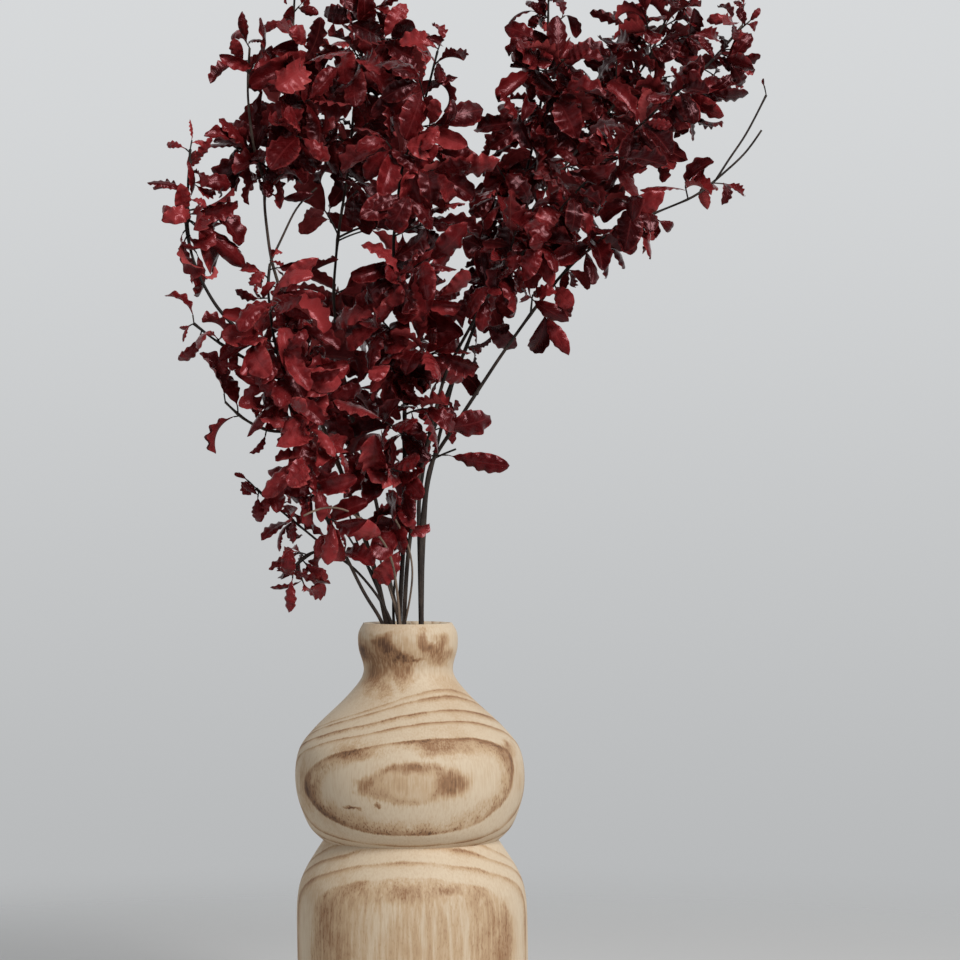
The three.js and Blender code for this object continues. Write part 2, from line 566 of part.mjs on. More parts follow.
// The wood of every stem: its main shoot, its branches, and the twigs of its sprays.
function growWood() {
  const stems = STEMS.map((stem) => {
    const route = stem.route.map(vector);
    route[0].z = BORE_FLOOR + CUT_END_GAP;
    const branches = (stem.branches ?? []).map((branch) => {
      const branchRoute = [routePoint(route, branch.at), ...branch.route.map(vector)];
      return shoot(branchRoute, branch.radius, BRANCH_SIDES, branch.sprays);
    });
    const shoots = [shoot(route, stem.radius, STEM_SIDES, stem.sprays), ...branches];
    return { name: stem.name, shoots, twigs: [], leaves: [] };
  });
  stems.forEach((stem) => {
    const others = stems.filter((s) => s !== stem);
    stem.shoots.forEach((parent) =>
      parent.sprays.forEach((row) => {
        const otherWood = others.flatMap((s) => [...s.shoots, ...s.twigs]).flatMap((s) => s.probes);
        const twig = sprayTwig(parent, row, otherWood);
        if (twig) stem.twigs.push(twig);
      }),
    );
  });
  return stems;
}

// The leaves, every twig's end leaf first. Each is turned about its twig until it is clear, or left out.
function growLeaves(stems) {
  LEAF_ORDER.forEach((site) =>
    stems.forEach((stem, s) => {
      const others = stems.filter((other) => other !== stem);
      const foreign = others.flatMap((o) => [...o.shoots, ...o.twigs, ...o.leaves]).flatMap((o) => o.probes);
      stem.twigs.forEach((twig, t) => {
        if (site >= twig.leafLimit || site * LEAF_SPACING > 0.8 * twig.length) return;
        if (site > 0 && draw(s, t, site, 9) > SIDE_LEAF_SHARE) return;
        const own = stem.leaves.flatMap((l) => l.probes);
        const clear = ({ probes }) => !meets(probes, foreign, 1) && !meets(probes, own, OWN_STEM_CLEARANCE);
        const turns = TURN_TRIES.map((turn) => leafAt(twig, s, t, site, turn));
        const fits = turns.find(clear);
        if (site === 0) twig.facing = (fits ?? turns[0]).facing;
        if (fits) stem.leaves.push(fits);
      });
    }),
  );
}

// One leafy stem as a single solid: every shoot, twig and leaf sunk into what it grows from.
function leafyStem(stem) {
  const wood = stem.shoots.map((w) => taperedTube(w.route, w.sides, w.radius, w.tipRadius));
  const endLeaf = (twig) => stem.leaves.find((leaf) => leaf.twig === twig && leaf.site === 0);
  const twigs = stem.twigs.map((twig) => twigWithLeaf(twig, endLeaf(twig)));
  const blades = stem.leaves.filter((leaf) => leaf.site > 0).map(sideLeaf);
  const fused = wasm.Manifold.union([...wood, ...twigs, ...blades].map(solid));
  const bodies = fused.decompose().sort((a, b) => b.volume() - a.volume());
  const { vertProperties, triVerts } = bodies[0].getMesh();
  const geometry = new THREE.BufferGeometry();
  geometry.setAttribute("position", new THREE.BufferAttribute(vertProperties, 3));
  geometry.setIndex(new THREE.BufferAttribute(triVerts, 1));
  return geometry;
}

const part = new THREE.Group();

const vaseMaterial = new THREE.MeshStandardMaterial({ color: WOOD_COLOUR, roughness: 0.75, metalness: 0 });
const vase = new THREE.Mesh(vaseGeometry(), vaseMaterial);
vase.name = "vase";
part.add(vase);

const stems = growWood();
growLeaves(stems);
stems.forEach((stem) => {
  const material = new THREE.MeshStandardMaterial({ color: LEAF_COLOUR, roughness: 0.45, metalness: 0 });
  const mesh = new THREE.Mesh(leafyStem(stem), material);
  mesh.name = stem.name;
  part.add(mesh);
});

export default part;
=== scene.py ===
import functools
import json
import math

import bpy
import numpy as np
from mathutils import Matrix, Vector

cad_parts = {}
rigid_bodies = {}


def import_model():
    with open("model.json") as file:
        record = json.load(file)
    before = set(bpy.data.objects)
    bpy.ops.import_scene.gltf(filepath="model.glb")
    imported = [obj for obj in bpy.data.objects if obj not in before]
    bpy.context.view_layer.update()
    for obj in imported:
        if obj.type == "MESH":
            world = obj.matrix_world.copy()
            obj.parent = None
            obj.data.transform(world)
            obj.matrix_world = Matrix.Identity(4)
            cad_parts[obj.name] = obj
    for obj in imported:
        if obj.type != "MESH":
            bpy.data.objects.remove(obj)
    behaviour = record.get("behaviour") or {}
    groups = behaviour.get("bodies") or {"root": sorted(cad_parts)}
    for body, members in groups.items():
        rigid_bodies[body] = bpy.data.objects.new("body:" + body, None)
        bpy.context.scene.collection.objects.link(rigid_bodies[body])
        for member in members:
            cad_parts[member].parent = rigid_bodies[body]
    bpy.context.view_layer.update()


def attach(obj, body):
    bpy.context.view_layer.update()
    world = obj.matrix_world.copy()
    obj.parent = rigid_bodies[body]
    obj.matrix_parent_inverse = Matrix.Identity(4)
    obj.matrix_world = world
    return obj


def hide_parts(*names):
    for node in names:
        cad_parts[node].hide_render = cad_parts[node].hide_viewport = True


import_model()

# Preserved pittosporum: nine dyed leafy stems standing in a turned wooden vase.
# Lengths are in millimetres up to the meshes and materials, which are in metres as the frame is.
# The viewer is on the -Y side.
MM = 0.001

# Camera, from the picture's frame: how it lies in the picture and where it stands.
PICTURE_SIDE = 960
FOCAL_PIXELS = 3200
HORIZON_ROW = 500
SENSOR_WIDTH = 36
CAMERA_PLACE = (52, -2530, 431)

# Stage, in metres. A light has a name, a place, a size, a power and a colour.
FLOOR_RADIUS = 1.6
FLOOR_SIDES = 96
FLOOR_FADE = (0.45, 1.3)
FLOOR_COLOUR = (0.62, 0.62, 0.62, 1)
FLOOR_ROUGHNESS = 0.8
LIGHTS = [
    ("key", (1.7, -2.3, 2.3), 1.5, 108, (1, 0.985, 0.96)),
    ("fill", (-2.4, -2.0, 1.4), 2.0, 9, (0.95, 0.98, 1)),
]
LIGHT_AIM = (0, 0, 0.5)
# The surround's strength from front to back and from below to above: where it changes, and from what to what.
SKY_COLOUR = (0.965, 0.985, 1, 1)
SKY_BACK = (-0.5, 0.9, 0.19, 1.0)
SKY_HEIGHT = (-0.2, 0.2, 0.47, 0.71)

# Vase: two turned bulbs under a short neck, bored from the top.
VASE_HEIGHT = 334
VASE_LEAN = 5.2
WAIST_HEIGHT = 163
BORE_RADIUS = 26
BORE_FLOOR = 150
FLAT_MIDDLE = 0.5
BASE_MIDDLE = 40
VASE_SIDES = 144
LOWER_ROWS = 60
UPPER_ROWS = 90
BORE_ROWS = 12
LIP_ROWS = 8
LIP_DROP = 5
# Outside of the bulbs as radius and height, from the base up to the waist and from the waist up to the lip.
LOWER_BULB = [[77, 0], [85, 12], [90, 42], [91, 85], [90, 119], [84, 139], [69, WAIST_HEIGHT]]
UPPER_BULB = [
    [69, WAIST_HEIGHT], [81, 176], [90, 204], [88, 232], [75, 251], [48, 277], [35.5, 295], [39, 314],
    [39, 326], [35, VASE_HEIGHT],
]

# Wood of the stems.
CUT_END_GAP = 0.6
STEM_TIP_RADIUS = 1.1
FINE_TIP_RADIUS = 0.8
TAPER = 1.4
STEM_SIDES = 12
STEM_STEP = 5
STEM_SOFTNESS = 9
BRANCH_SIDES = 8
TWIG_RADIUS = 0.95
TWIG_TIP_RADIUS = 0.6
TWIG_SIDES = 6
TWIG_STEP = 4
TWIG_SHARE = 0.5
TWIG_LIFT = 0.06
SHORT_TWIG = 11
PROBE_STEP = 3
LEAST_STEPS = 4
NODE_SWELLING = 0.28
NODE_REACH = 5
BLUNT_END = 0.1
FIRST_SIDE = np.array([0.31, 0.95, 0.05])

# Leaves: obovate blades with waved edges, crowded towards the end of a twig.
LEAF_LENGTH = 41
SMALL_LEAF = 0.6
LEAF_WIDTH = 0.46
LEAF_REACH = 0.95
LEAF_DROOP = 0.12
LEAF_THICKNESS = 0.5
EDGE_THINNING = 0.7
BLADE_LENGTH = 40
LEAF_ROWS = 27
LEAF_COLUMNS = np.array([-1, -0.66, -0.3, 0, 0.3, 0.66, 1])
PETIOLE_SHARE = 0.07
PETIOLE_HALF = 0.6
PETIOLE_TAPER = 0.6
LEAST_LEAVES = 5
MOST_LEAVES = 13
SPRAY_DEFAULTS = (1, MOST_LEAVES)
SHORT_TWIG_LEAVES = 4
LONG_TWIG_LEAVES = 6
TWIG_PER_LEAF = 9
SITES_ALONG = 9
LEAF_SPACING = [2, 5.5]
TOP_SITE = 0.98
LOWEST_LEAF = 0.15
SITE_TURN = 2.4
LENGTH_SPREAD = [0.72, 1.28]
WIDTH_SPREAD = [0.85, 1.15]
END_SPLAY = [0, 0.3]
END_TURN = 0.5
SIDE_SPLAY = [0.45, 1.3]
UPWARDS = np.array([0.0, 0, 1])
LIGHT_SIDE = np.array([0, -0.94, 0.34])
LIGHT_ALONG = 0.8
FACE_TWIST = 2.4
FACE_MIX = 0.8
FACE_JITTER = 0.75
CURL = [0.5, 1.6]
STRONG_CURL = [1.6, 2.8]
STRONG_CURL_SHARE = 0.3
TWIST = [-0.7, 0.7]
SWAY = [-0.12, 0.12]
CUP = [0.35, 1.2]
HOLLOW_SHARE = 0.38
FOLD = [-0.05, 0.3]
WAVE_HEIGHT = [0.03, 0.085]
WAVE_COUNT = [3.6, 5.4]
WAVE_POWER = 1.7
SCALLOP = 0.05
SCALLOP_POWER = 4
GROOVE_DEPTH = 0.025
GROOVE_HALF = 0.2
BASE_POWER = 0.95
TIP_POWER = [0.5, 0.85]
TURN_TRIES = 6
TURN_STEP = 0.55
ROOM_ROWS = 7
ROOM_FROM = 2
ROOM_SIDE = 0.25
OWN_ROOM = 5

# Repeatable chance: the start, steps and stretch of the draw, and a number for each use of it.
SEED = 11
DRAW_STEPS = (12.9898, 78.233, 37.719, 4.581)
DRAW_STRETCH = 43758.5453
USES = (
    "around splay facing length width curl jitter_x jitter_y jitter_z strong_curl twist sway cup fold wave "
    "waves left_phase right_phase tip tint hollow bark twig_bark"
)
USE_NUMBERS = dict(zip(USES.split(), [*range(1, 7), *range(10, 25), 30, 31]))

# How a stem differs from the rest: the scale of its leaves, a shift in their colour, how much more they curl,
# cup and wave, how many more a twig carries, and how pale the bark is where that isn't left to chance. The
# colour shift is painted light on the front stems at the left, whose leaves are made brighter, and painted
# shade on the stems at the right and the back, whose leaves are made darker.
LOOKS = {
    "stem_right_low": dict(scale=0.9, tint=-0.06, extra=2, bark=0.8),
    "stem_right_front": dict(scale=0.84, tint=-0.18, cup=1.1, wave=1.4, extra=4),
    "stem_right_back": dict(scale=0.86, tint=-0.26, cup=1.1, wave=1.4, extra=4),
    "stem_right_upright": dict(scale=0.88, tint=-0.2, cup=1.1, wave=1.4, extra=3),
    "stem_centre": dict(cup=1.1, wave=1.45),
    "stem_left_back": dict(tint=-0.1, cup=1.1, wave=1.45, extra=1, bark=1.1),
    "stem_left_tall": dict(cup=1.1, wave=1.45, extra=1, bark=1.5),
    "stem_left_front": dict(tint=0.26, curl=1.25, cup=1.25, wave=1.5),
    "stem_left_low": dict(tint=0.18, curl=1.25, cup=1.25, wave=1.5),
}

# The stems, from their cut ends up. A spray's row has its knot on the route and the point that it reaches.
# A fifth number scales its leaves, and a sixth is the most leaves it carries. A branch leaves at a knot.
STEMS = [
    dict(name="stem_right_low", radius=3, route=[
        [8, -6, 150], [5.7, -5, 334], [4.5, -10, 398], [12, -18, 459], [37, -29, 496], [68, -42, 543],
        [94, -52, 579], [119, -60, 610], [147, -65, 633], [183, -62, 651], [220, -58, 666],
        [236, -56, 680],
    ], sprays=[
        [5.9, 93, -110, 600, 0.9, 4], [6.2, 112, -75, 548, 0.9, 2], [6.6, 112, -95, 590, 0.9, 4],
        [7, 125, -29, 604, 0.9, 5], [7.4, 151, -114, 648, 1, 8], [7.8, 163, -23, 650, 0.9, 5],
        [8.2, 181, -104, 656, 1, 4], [8.6, 173, -124, 676], [9, 180, -44, 640, 0.8, 2],
        [9, 204, -72, 637, 1.5, 1], [9.8, 205, -91, 690, 0.8, 3], [10.2, 226, -39, 690, 0.8, 4],
        [10.7, 262, -65, 674, 0.8, 2],
    ], branches=[
        dict(at=10.9, radius=0.9, route=[
            [248, -54, 700], [256, -53, 710], [266, -51, 729], [274, -50, 745],
        ], sprays=[
            [4, 271, -48, 760, 0.4, 1],
        ]),
        dict(at=10.8, radius=0.9, route=[
            [257, -64, 698], [265, -65, 710], [269, -66, 716],
        ], sprays=[]),
    ]),
    dict(name="stem_right_front", radius=2.3, route=[
        [3, 1, 150], [-8, -13, 334], [-5.3, -21, 380], [2, -34, 440], [25, -52, 530], [59, -70, 590],
        [102, -81, 640], [147, -83, 690], [192, -75, 735], [232, -65, 770], [255, -57, 798],
    ], sprays=[
        [4.8, 75, -124, 618, 1, 6], [5.3, 85, -114, 662], [5.7, 109, -140, 628], [6.2, 129, -143, 668],
        [6.6, 165, -42, 664], [7, 175, -140, 690], [7.4, 189, -135, 728], [7.6, 203, -40, 686],
        [8, 219, -130, 752], [8.2, 232, -62, 714], [8.5, 247, -104, 732, 0.9, 4],
        [8.8, 259, -36, 746, 0.9, 5], [9.1, 266, -94, 760, 0.85, 5], [9.3, 270, -52, 780, 0.75, 3],
        [9.6, 269, -81, 808, 0.5, 3], [9.8, 237, -91, 812, 0.7, 4], [10, 257, -52, 830, 0.5, 3],
        [9, 238, -70, 778, 0.9, 5], [9.2, 270, -60, 762, 0.7, 2], [8.4, 236, -95, 724, 1, 6],
        [8.3, 226, -80, 706, 1, 5], [8.2, 246, -75, 703, 1.2, 1], [8.6, 244, -78, 730, 1.2, 1],
    ]),
    dict(name="stem_right_back", radius=2.3, route=[
        [7, 6, 150], [5.5, 13, 334], [6, 24, 380], [9, 31, 440], [31, 44, 530], [63, 60, 610],
        [102, 73, 680], [147, 78, 735], [187, 75, 785], [209, 68, 835],
    ], sprays=[
        [4.7, 71, 130, 622, 1, 8], [5.2, 89, 146, 676], [5.6, 151, 125, 652], [6, 119, 146, 748],
        [6.4, 149, 159, 704], [6.7, 195, 138, 706], [7, 139, 138, 800], [7.2, 209, 135, 752],
        [7.1, 143, 25, 788], [7.4, 161, 21, 812], [7.6, 235, 120, 790], [8, 161, 109, 846],
        [8.2, 181, 34, 850], [8.3, 251, 55, 816, 0.8], [8.6, 243, 99, 842], [9, 219, 65, 864],
    ]),
    dict(name="stem_right_upright", radius=2.6, route=[
        [-3, 3, 150], [5.5, 4.5, 334], [4, 5, 398], [3, 11, 430], [9, 18, 471], [25, 23, 514],
        [41, 29, 553], [55, 34, 589], [67, 39, 624], [83, 42, 668], [98, 39, 731], [106, 34, 786],
        [107, 31, 838],
    ], sprays=[
        [4.6, 39, 8, 506], [5.4, 13, 73, 540, 1, 5], [6, 67, 52, 556, 0.8, 4], [6.6, 73, -3, 564, 0.8, 3],
        [7.3, 77, -29, 632], [7.6, 101, 91, 628, 1, 8], [8, 49, 86, 668], [8.4, 103, -13, 684],
        [8.7, 55, -47, 684], [9, 53, -18, 716], [9.4, 123, -21, 722], [9.7, 75, -52, 740],
        [10, 129, -34, 768], [10.3, 63, 26, 742], [10.6, 136, -10, 800], [10.8, 74, -18, 768],
        [11.2, 80, 3, 800], [11.4, 137, 57, 838, 0.8, 2], [11.6, 79, 21, 830, 0.8], [12, 109, 29, 864],
        [10.9, 139, 5, 786, 0.8, 3],
    ]),
    dict(name="stem_centre", radius=2.7, route=[
        [-9, -1, 150], [-12, -4, 334], [-8, -10, 400], [-7, -18, 450], [-7, -26, 510], [-11, -34, 570],
        [-16, -39, 630], [-9, -44, 690], [9, -47, 740], [19, -44, 780],
    ], sprays=[
        [2.2, -22, -55, 410, 1, 4], [2.5, -25, -68, 430, 1, 4], [2.8, -1, -73, 456, 1, 3],
        [3, -31, -81, 462], [3.2, 62, -60, 470, 1.05, 1], [2.4, -6, -48, 404, 0.7, 1],
        [3.5, -35, -94, 502], [3.8, 31, -86, 506], [4.1, -25, -104, 548], [4.4, 25, -109, 556],
        [4.6, 27, -80, 566, 0.9, 5], [4.7, -37, -114, 584], [5, 43, -91, 602], [5.2, -9, -135, 612],
        [5.5, 29, -127, 624], [5.8, -21, -112, 612, 1, 2], [6.1, 47, -86, 654], [6.4, 5, -135, 668, 1, 7],
        [6.7, 35, -125, 690], [7, -31, -112, 722], [7.3, 37, -10, 706], [7.5, 50, -75, 674, 1, 6],
        [7.6, 47, -101, 718], [8, 1, -107, 772], [8.4, 33, -18, 764, 1, 3], [8.7, 37, -70, 788, 1, 4],
        [9, 31, -47, 812, 1, 4], [2, -20, -36, 366, 1, 1], [2.3, -16, -50, 394, 1, 3],
        [3.4, 56, -60, 503, 1.1, 1], [4.5, 42, -84, 548, 0.9, 4], [5.4, 36, -60, 618, 1, 5],
        [7.2, 44, -40, 664, 1, 4],
    ]),
    dict(name="stem_left_back", radius=2.3, route=[
        [11, 16, 150], [-12, 14, 334], [-22, 24, 374], [-31, 36, 430], [-49, 47, 490], [-62, 55, 550],
        [-67, 57, 597], [-63, 57, 645], [-54, 55, 700], [-49, 49, 755], [-41, 44, 803], [-33, 42, 838],
    ], sprays=[
        [3.4, -11, 86, 472], [4, -65, 112, 512], [4.5, -15, 104, 524], [5, -91, 117, 562],
        [5.5, -31, 107, 572], [6, -37, 133, 612], [6.9, -11, 125, 664, 1, 2], [7, -87, 125, 690, 1, 5],
        [7.4, -31, -10, 690, 1, 6], [7.7, -5, 120, 716], [8, -91, 107, 738], [8.2, -75, -18, 738],
        [8.4, -19, -3, 746], [8.7, -7, 104, 766], [9, -53, 125, 794], [9.2, -33, -26, 792],
        [9.4, 1, 5, 782], [9.9, 3, -20, 797, 1, 5], [9.7, -83, 55, 800], [10, -1, 55, 804],
        [10.3, -67, 18, 826], [10.6, -7, 21, 842], [11, -27, 39, 864], [9.6, -62, -20, 806, 1, 3],
    ]),
    dict(name="stem_left_tall", radius=3, route=[
        [6, 15, 150], [-22, 5, 334], [-30, 3, 372], [-45, -5, 420], [-61, -10, 463], [-74, -13, 494],
        [-86, -13, 534], [-98, -13, 573], [-113, -10, 621], [-119, -5, 668], [-115, 0, 700],
        [-101, 5, 731], [-95, 8, 763], [-97, 10, 800], [-95, 10, 836],
    ], sprays=[
        [4, -41, -57, 476], [4.6, -95, 47, 494, 1, 5], [5.2, -51, -65, 524], [5.6, -115, 55, 534],
        [6.2, -53, 39, 562], [6.8, -121, 65, 594], [7.4, -69, -60, 606, 1, 5], [9.2, -78, -40, 655, 1, 1],
        [9.3, -81, -55, 698, 1, 4], [9.4, -104, -45, 684, 0.8, 1], [9.6, -147, -8, 676],
        [9.8, -169, -29, 728], [10.2, -139, 65, 738], [10.4, -150, -10, 738, 0.9, 4],
        [10.6, -71, -78, 708], [11, -79, 81, 758], [11.4, -65, -70, 742], [12, -105, 81, 792],
        [12.2, -77, -65, 772], [12.5, -135, 47, 790, 1, 4], [12.8, -68, -31, 800, 1, 5],
        [13.2, -123, -16, 818, 1, 2], [13.5, -75, -5, 840, 1, 2], [14, -93, 10, 864],
    ], branches=[
        dict(at=9.4, radius=1.5, route=[
            [-127, -13, 710], [-131, -18, 752], [-129, -18, 786],
        ], sprays=[
            [2.7, -160, -34, 774, 1.2, 3], [3, -145, -13, 814, 1, 3], [2.4, -105, -44, 796, 1.2, 4],
            [0.6, -158, -36, 700, 1, 3],
        ]),
    ]),
    dict(name="stem_left_front", radius=2.1, route=[
        [2, -10, 150], [-23.5, -8.5, 334], [-38, -22, 356], [-48, -36, 378], [-60, -53, 404],
        [-75, -65, 434], [-87, -73, 475], [-98, -78, 520], [-107, -81, 560], [-111, -81, 596],
        [-109, -78, 612],
    ], sprays=[
        [4.4, -45, -109, 412], [5, -95, -101, 432], [5.3, -59, -114, 436], [5.7, -77, -135, 458, 1, 5],
        [6.1, -59, -127, 494], [6.4, -98, -122, 500, 1, 1], [6.7, -87, -153, 504], [7, -133, -99, 516],
        [7.2, -59, -133, 528], [7.5, -87, -159, 548], [7.8, -139, -130, 552], [8, -59, -120, 562],
        [8.4, -93, -151, 584], [8.7, -133, -100, 584, 0.8, 3], [9, -75, -120, 580, 1, 2],
        [9.3, -127, -99, 616, 0.7, 3], [9.7, -80, -99, 614, 1, 2], [10, -101, -78, 632, 0.7, 3],
    ], branches=[
        dict(at=7.6, radius=1.7, route=[
            [-128, -83, 556], [-149, -81, 577], [-163, -75, 601], [-171, -70, 622], [-175, -65, 648],
            [-173, -62, 676], [-172, -58, 702],
        ], sprays=[
            [3.3, -150, -60, 596, 1, 2], [4.2, -140, -70, 594, 1.3, 1], [4.5, -186, -84, 608, 1.4, 2],
            [4.6, -160, -92, 618, 1.2, 1], [5, -131, -80, 614, 1.3, 2], [5.2, -129, -62, 664, 1, 2],
            [5.1, -140, -90, 652, 1.3, 2], [5.1, -190, -82, 659, 1.3, 2], [5.4, -160, -72, 684, 1.2, 2],
            [5.6, -184, -80, 684, 1.1, 2], [6.5, -160, -56, 712, 1, 2], [6.9, -184, -60, 710, 0.7, 1],
            [6.2, -162, -80, 690, 1, 1], [7, -168, -58, 724, 0.6, 2], [6, -146, -56, 668, 1.2, 2],
            [5.05, -160, -85, 660, 1.2, 1], [4.7, -192, -78, 616, 1.5, 1], [5, -126, -76, 622, 1.3, 1],
            [5.2, -120, -70, 660, 1.2, 1],
        ]),
        dict(at=7.1, radius=1.3, route=[
            [-129, -86, 540], [-151, -83, 553], [-167, -81, 566],
        ], sprays=[
            [1.8, -158, -95, 572, 1.2, 2], [2.6, -168, -86, 540, 1.2, 1], [3, -172, -84, 606, 1.4, 1],
            [1.6, -140, -100, 580, 1.3, 2], [1.4, -150, -92, 526, 1.3, 2], [1.2, -130, -100, 562, 1.1, 2],
            [3, -178, -90, 560, 0.7, 2],
        ]),
        dict(at=6.2, radius=1.3, route=[
            [-107, -83, 482], [-129, -83, 492], [-143, -81, 506],
        ], sprays=[
            [3, -148, -84, 542, 1.3, 1], [2.3, -134, -86, 526, 1.1, 1], [2.2, -156, -84, 494, 1.2, 1],
            [1.2, -114, -100, 466, 1.1, 1], [1.6, -104, -90, 506, 1.2, 2],
        ]),
    ]),
    dict(name="stem_left_low", radius=1.9, route=[
        [8, -14, 150], [-16, -14, 334], [-28, -18, 356], [-46, -26, 378], [-66, -36, 392],
        [-82, -44, 406], [-98, -52, 419], [-110, -57, 430], [-121, -60, 440],
    ], sprays=[
        [3.5, -47, -60, 408], [4.1, -60, -72, 430, 1, 3], [5.6, -95, -86, 424],
        [6.6, -80, -40, 440, 0.8, 1], [7.3, -103, -83, 452, 1, 3], [7.8, -119, -86, 424, 0.6, 2],
        [8, -140, -60, 458, 0.5, 2],
    ], branches=[
        dict(at=4.1, radius=1.2, route=[
            [-83, -42, 390], [-93, -44, 378],
        ], sprays=[
            [1, -115, -39, 390, 1, 3], [1.4, -65, -57, 362, 1, 3], [2, -95, -52, 346, 0.9, 4],
            [1.8, -77, -29, 344, 0.6, 3], [1.2, -106, -45, 400, 0.9, 2],
        ]),
    ]),
]

# Thin bare shoots, each with the stem it belongs to, its radius, its paleness and its route.
BARE_SHOOTS = [
    ("stem_left_front", 1.2, 2.6, [
        [-10, -20, 300], [-11, -22, 340], [-13, -26, 362], [-16, -34, 384], [-23, -48, 400], [-36, -64, 414],
        [-50, -80, 424], [-67, -92, 427], [-82, -98, 419],
    ]),
    ("stem_right_front", 0.9, 2.0, [
        [-7, -14, 334], [-3, -22, 352], [0, -26, 374], [-2, -28, 390], [-7, -32, 404], [-14, -40, 416],
    ]),
    ("stem_left_back", 1.3, 1.0, [
        [-13, 12, 320], [-22, 8, 340], [-27, 8, 356], [-33, 10, 368], [-38, 12, 380], [-46, 14, 396],
        [-52, 18, 420],
    ]),
    ("stem_left_low", 1.4, 0.6, [
        [-14, -12, 322], [-23, -12, 346], [-28, -12, 364], [-34, -13, 378], [-44, -16, 390], [-52, -22, 404],
    ]),
    ("stem_centre", 1.6, 0.3, [
        [-15, -2, 300], [-16, -4, 334], [-17, -6, 352], [-14, -8, 376], [-10, -10, 396],
    ]),
    ("stem_centre", 1.2, 1.6, [
        [-11, -6, 330], [-16, -10, 352], [-22, -14, 370], [-27, -20, 386], [-31, -28, 404],
    ]),
    ("stem_right_upright", 0.9, 0.6, [[4, 6, 458], [14, -4, 463], [24, -10, 468], [33, -14, 471]]),
    ("stem_left_tall", 1.1, 1.4, [[-113, -10, 619], [-101, -14, 643], [-92, -16, 663], [-76, -20, 676]]),
    ("stem_left_back", 1.0, 1.2, [[-63, 57, 643], [-45, 50, 652], [-18, 44, 651]]),
]


# Chance.
def draw(stem, spray, site, use):
    """A repeatable number from 0 to 1 for one use of it at one leaf."""
    by_stem, by_spray, by_site, by_use = DRAW_STEPS
    angle = SEED + stem * by_stem + spray * by_spray + site * by_site + USE_NUMBERS[use] * by_use
    x = math.sin(angle) * DRAW_STRETCH
    return x - math.floor(x)


def between(spread, share):
    return spread[0] + (spread[1] - spread[0]) * share


# Vectors and curves.
def unit(vector):
    return vector / np.linalg.norm(vector)


def across_to(vector, direction):
    """The part of a vector that stands square to a direction, as a unit vector."""
    return unit(vector - direction * np.dot(vector, direction))


def turned(vector, axis, angle):
    """A vector turned about a unit axis."""
    along = axis * np.dot(axis, vector) * (1 - math.cos(angle))
    return vector * math.cos(angle) + np.cross(axis, vector) * math.sin(angle) + along


def route_point(route, knot):
    """The point at a knot number of a route, on the straight line between two knots."""
    first = min(int(knot), len(route) - 2)
    return route[first] + (route[first + 1] - route[first]) * (knot - first)


def smooth_points(points, count):
    """Points of a smooth curve through knots, evenly spread over the knot numbers."""
    points = np.asarray(points, float)
    knots = np.linspace(0, len(points) - 1, count)
    first = np.minimum(knots.astype(int), len(points) - 2)
    t = (knots - first)[:, None]
    p = np.vstack([points[0], points, points[-1]])
    a, b, c, d = p[first], p[first + 1], p[first + 2], p[first + 3]
    cubic = (3 * b - a - 3 * c + d) * t ** 3
    return 0.5 * (2 * b + (c - a) * t + (2 * a - 5 * b + 4 * c - d) * t ** 2 + cubic)


def soft_route(route):
    """A route with its bends rounded off: points a millimetre apart, each the mean of its neighbours."""
    steps = np.concatenate([[0], np.cumsum(np.linalg.norm(np.diff(route, axis=0), axis=1))])
    places = np.linspace(0, steps[-1], math.ceil(steps[-1]) + 1)
    line = np.stack([np.interp(places, steps, column) for column in route.T], 1)
    reach = min(3 * STEM_SOFTNESS, len(line) - 1)
    before = 2 * line[0] - line[reach:0:-1]
    after = 2 * line[-1] - line[-2:-2 - reach:-1]
    weights = np.exp(-0.5 * (np.arange(-reach, reach + 1) / STEM_SOFTNESS) ** 2)
    padded = np.vstack([before, line, after])
    return np.stack([np.convolve(column, weights / weights.sum(), "valid") for column in padded.T], 1)


def nearest(line, point):
    return line[np.argmin(np.linalg.norm(line - point, axis=1))]


def bow_points(start, middle, end, shares):
    """Points of a bowed line from start to end, drawn towards the middle point."""
    t = np.asarray(shares, float)[:, None]
    return (1 - t) ** 2 * start + 2 * t * (1 - t) * middle + t ** 2 * end


def step_shares(length, step):
    """Shares from 0 to 1 of a length, about a step apart."""
    return np.linspace(0, 1, max(LEAST_STEPS, math.ceil(length / step)) + 1)


# Growth of the wood: the same shoots and twigs as the solids.
def shoot(route, radius, sides, sprays):
    """A shoot that follows a route, with the sprays it carries and points for the room that it takes."""
    length = np.linalg.norm(np.diff(route, axis=0), axis=1).sum()
    knots = step_shares(length, PROBE_STEP) * (len(route) - 1)
    probes = np.array([route_point(route, knot) for knot in knots])
    return dict(route=route, line=soft_route(route), radius=radius, sides=sides, sprays=sprays, probes=probes)


def spray_twig(parent, row):
    """The twig of one spray, which leaves room for its leaves on the way to the point that it reaches."""
    at, x, y, z, leaf_size, leaf_limit = (*row, *SPRAY_DEFAULTS[len(row) - 4:])
    start = route_point(parent["route"], at)
    radii = [parent["radius"], min(parent["radius"], STEM_TIP_RADIUS)]
    parent_radius = between(radii, at / (len(parent["route"]) - 1))
    way = np.array([x, y, z], float) - start
    whole = np.linalg.norm(way)
    fit = whole / (LEAF_REACH * LEAF_LENGTH * leaf_size + SHORT_TWIG)
    size = leaf_size * min(max(fit, SMALL_LEAF), 1)
    length = max(SHORT_TWIG * min(fit, 1), whole - LEAF_REACH * LEAF_LENGTH * size)
    end = start + way * length / whole
    middle = (start + end) / 2 + np.array([0, 0, TWIG_LIFT * length])
    radius = min(TWIG_RADIUS, TWIG_SHARE * parent_radius)
    return dict(start=start, middle=middle, end=end, length=length, radius=radius, size=size,
                parent=parent, leaf_limit=leaf_limit)


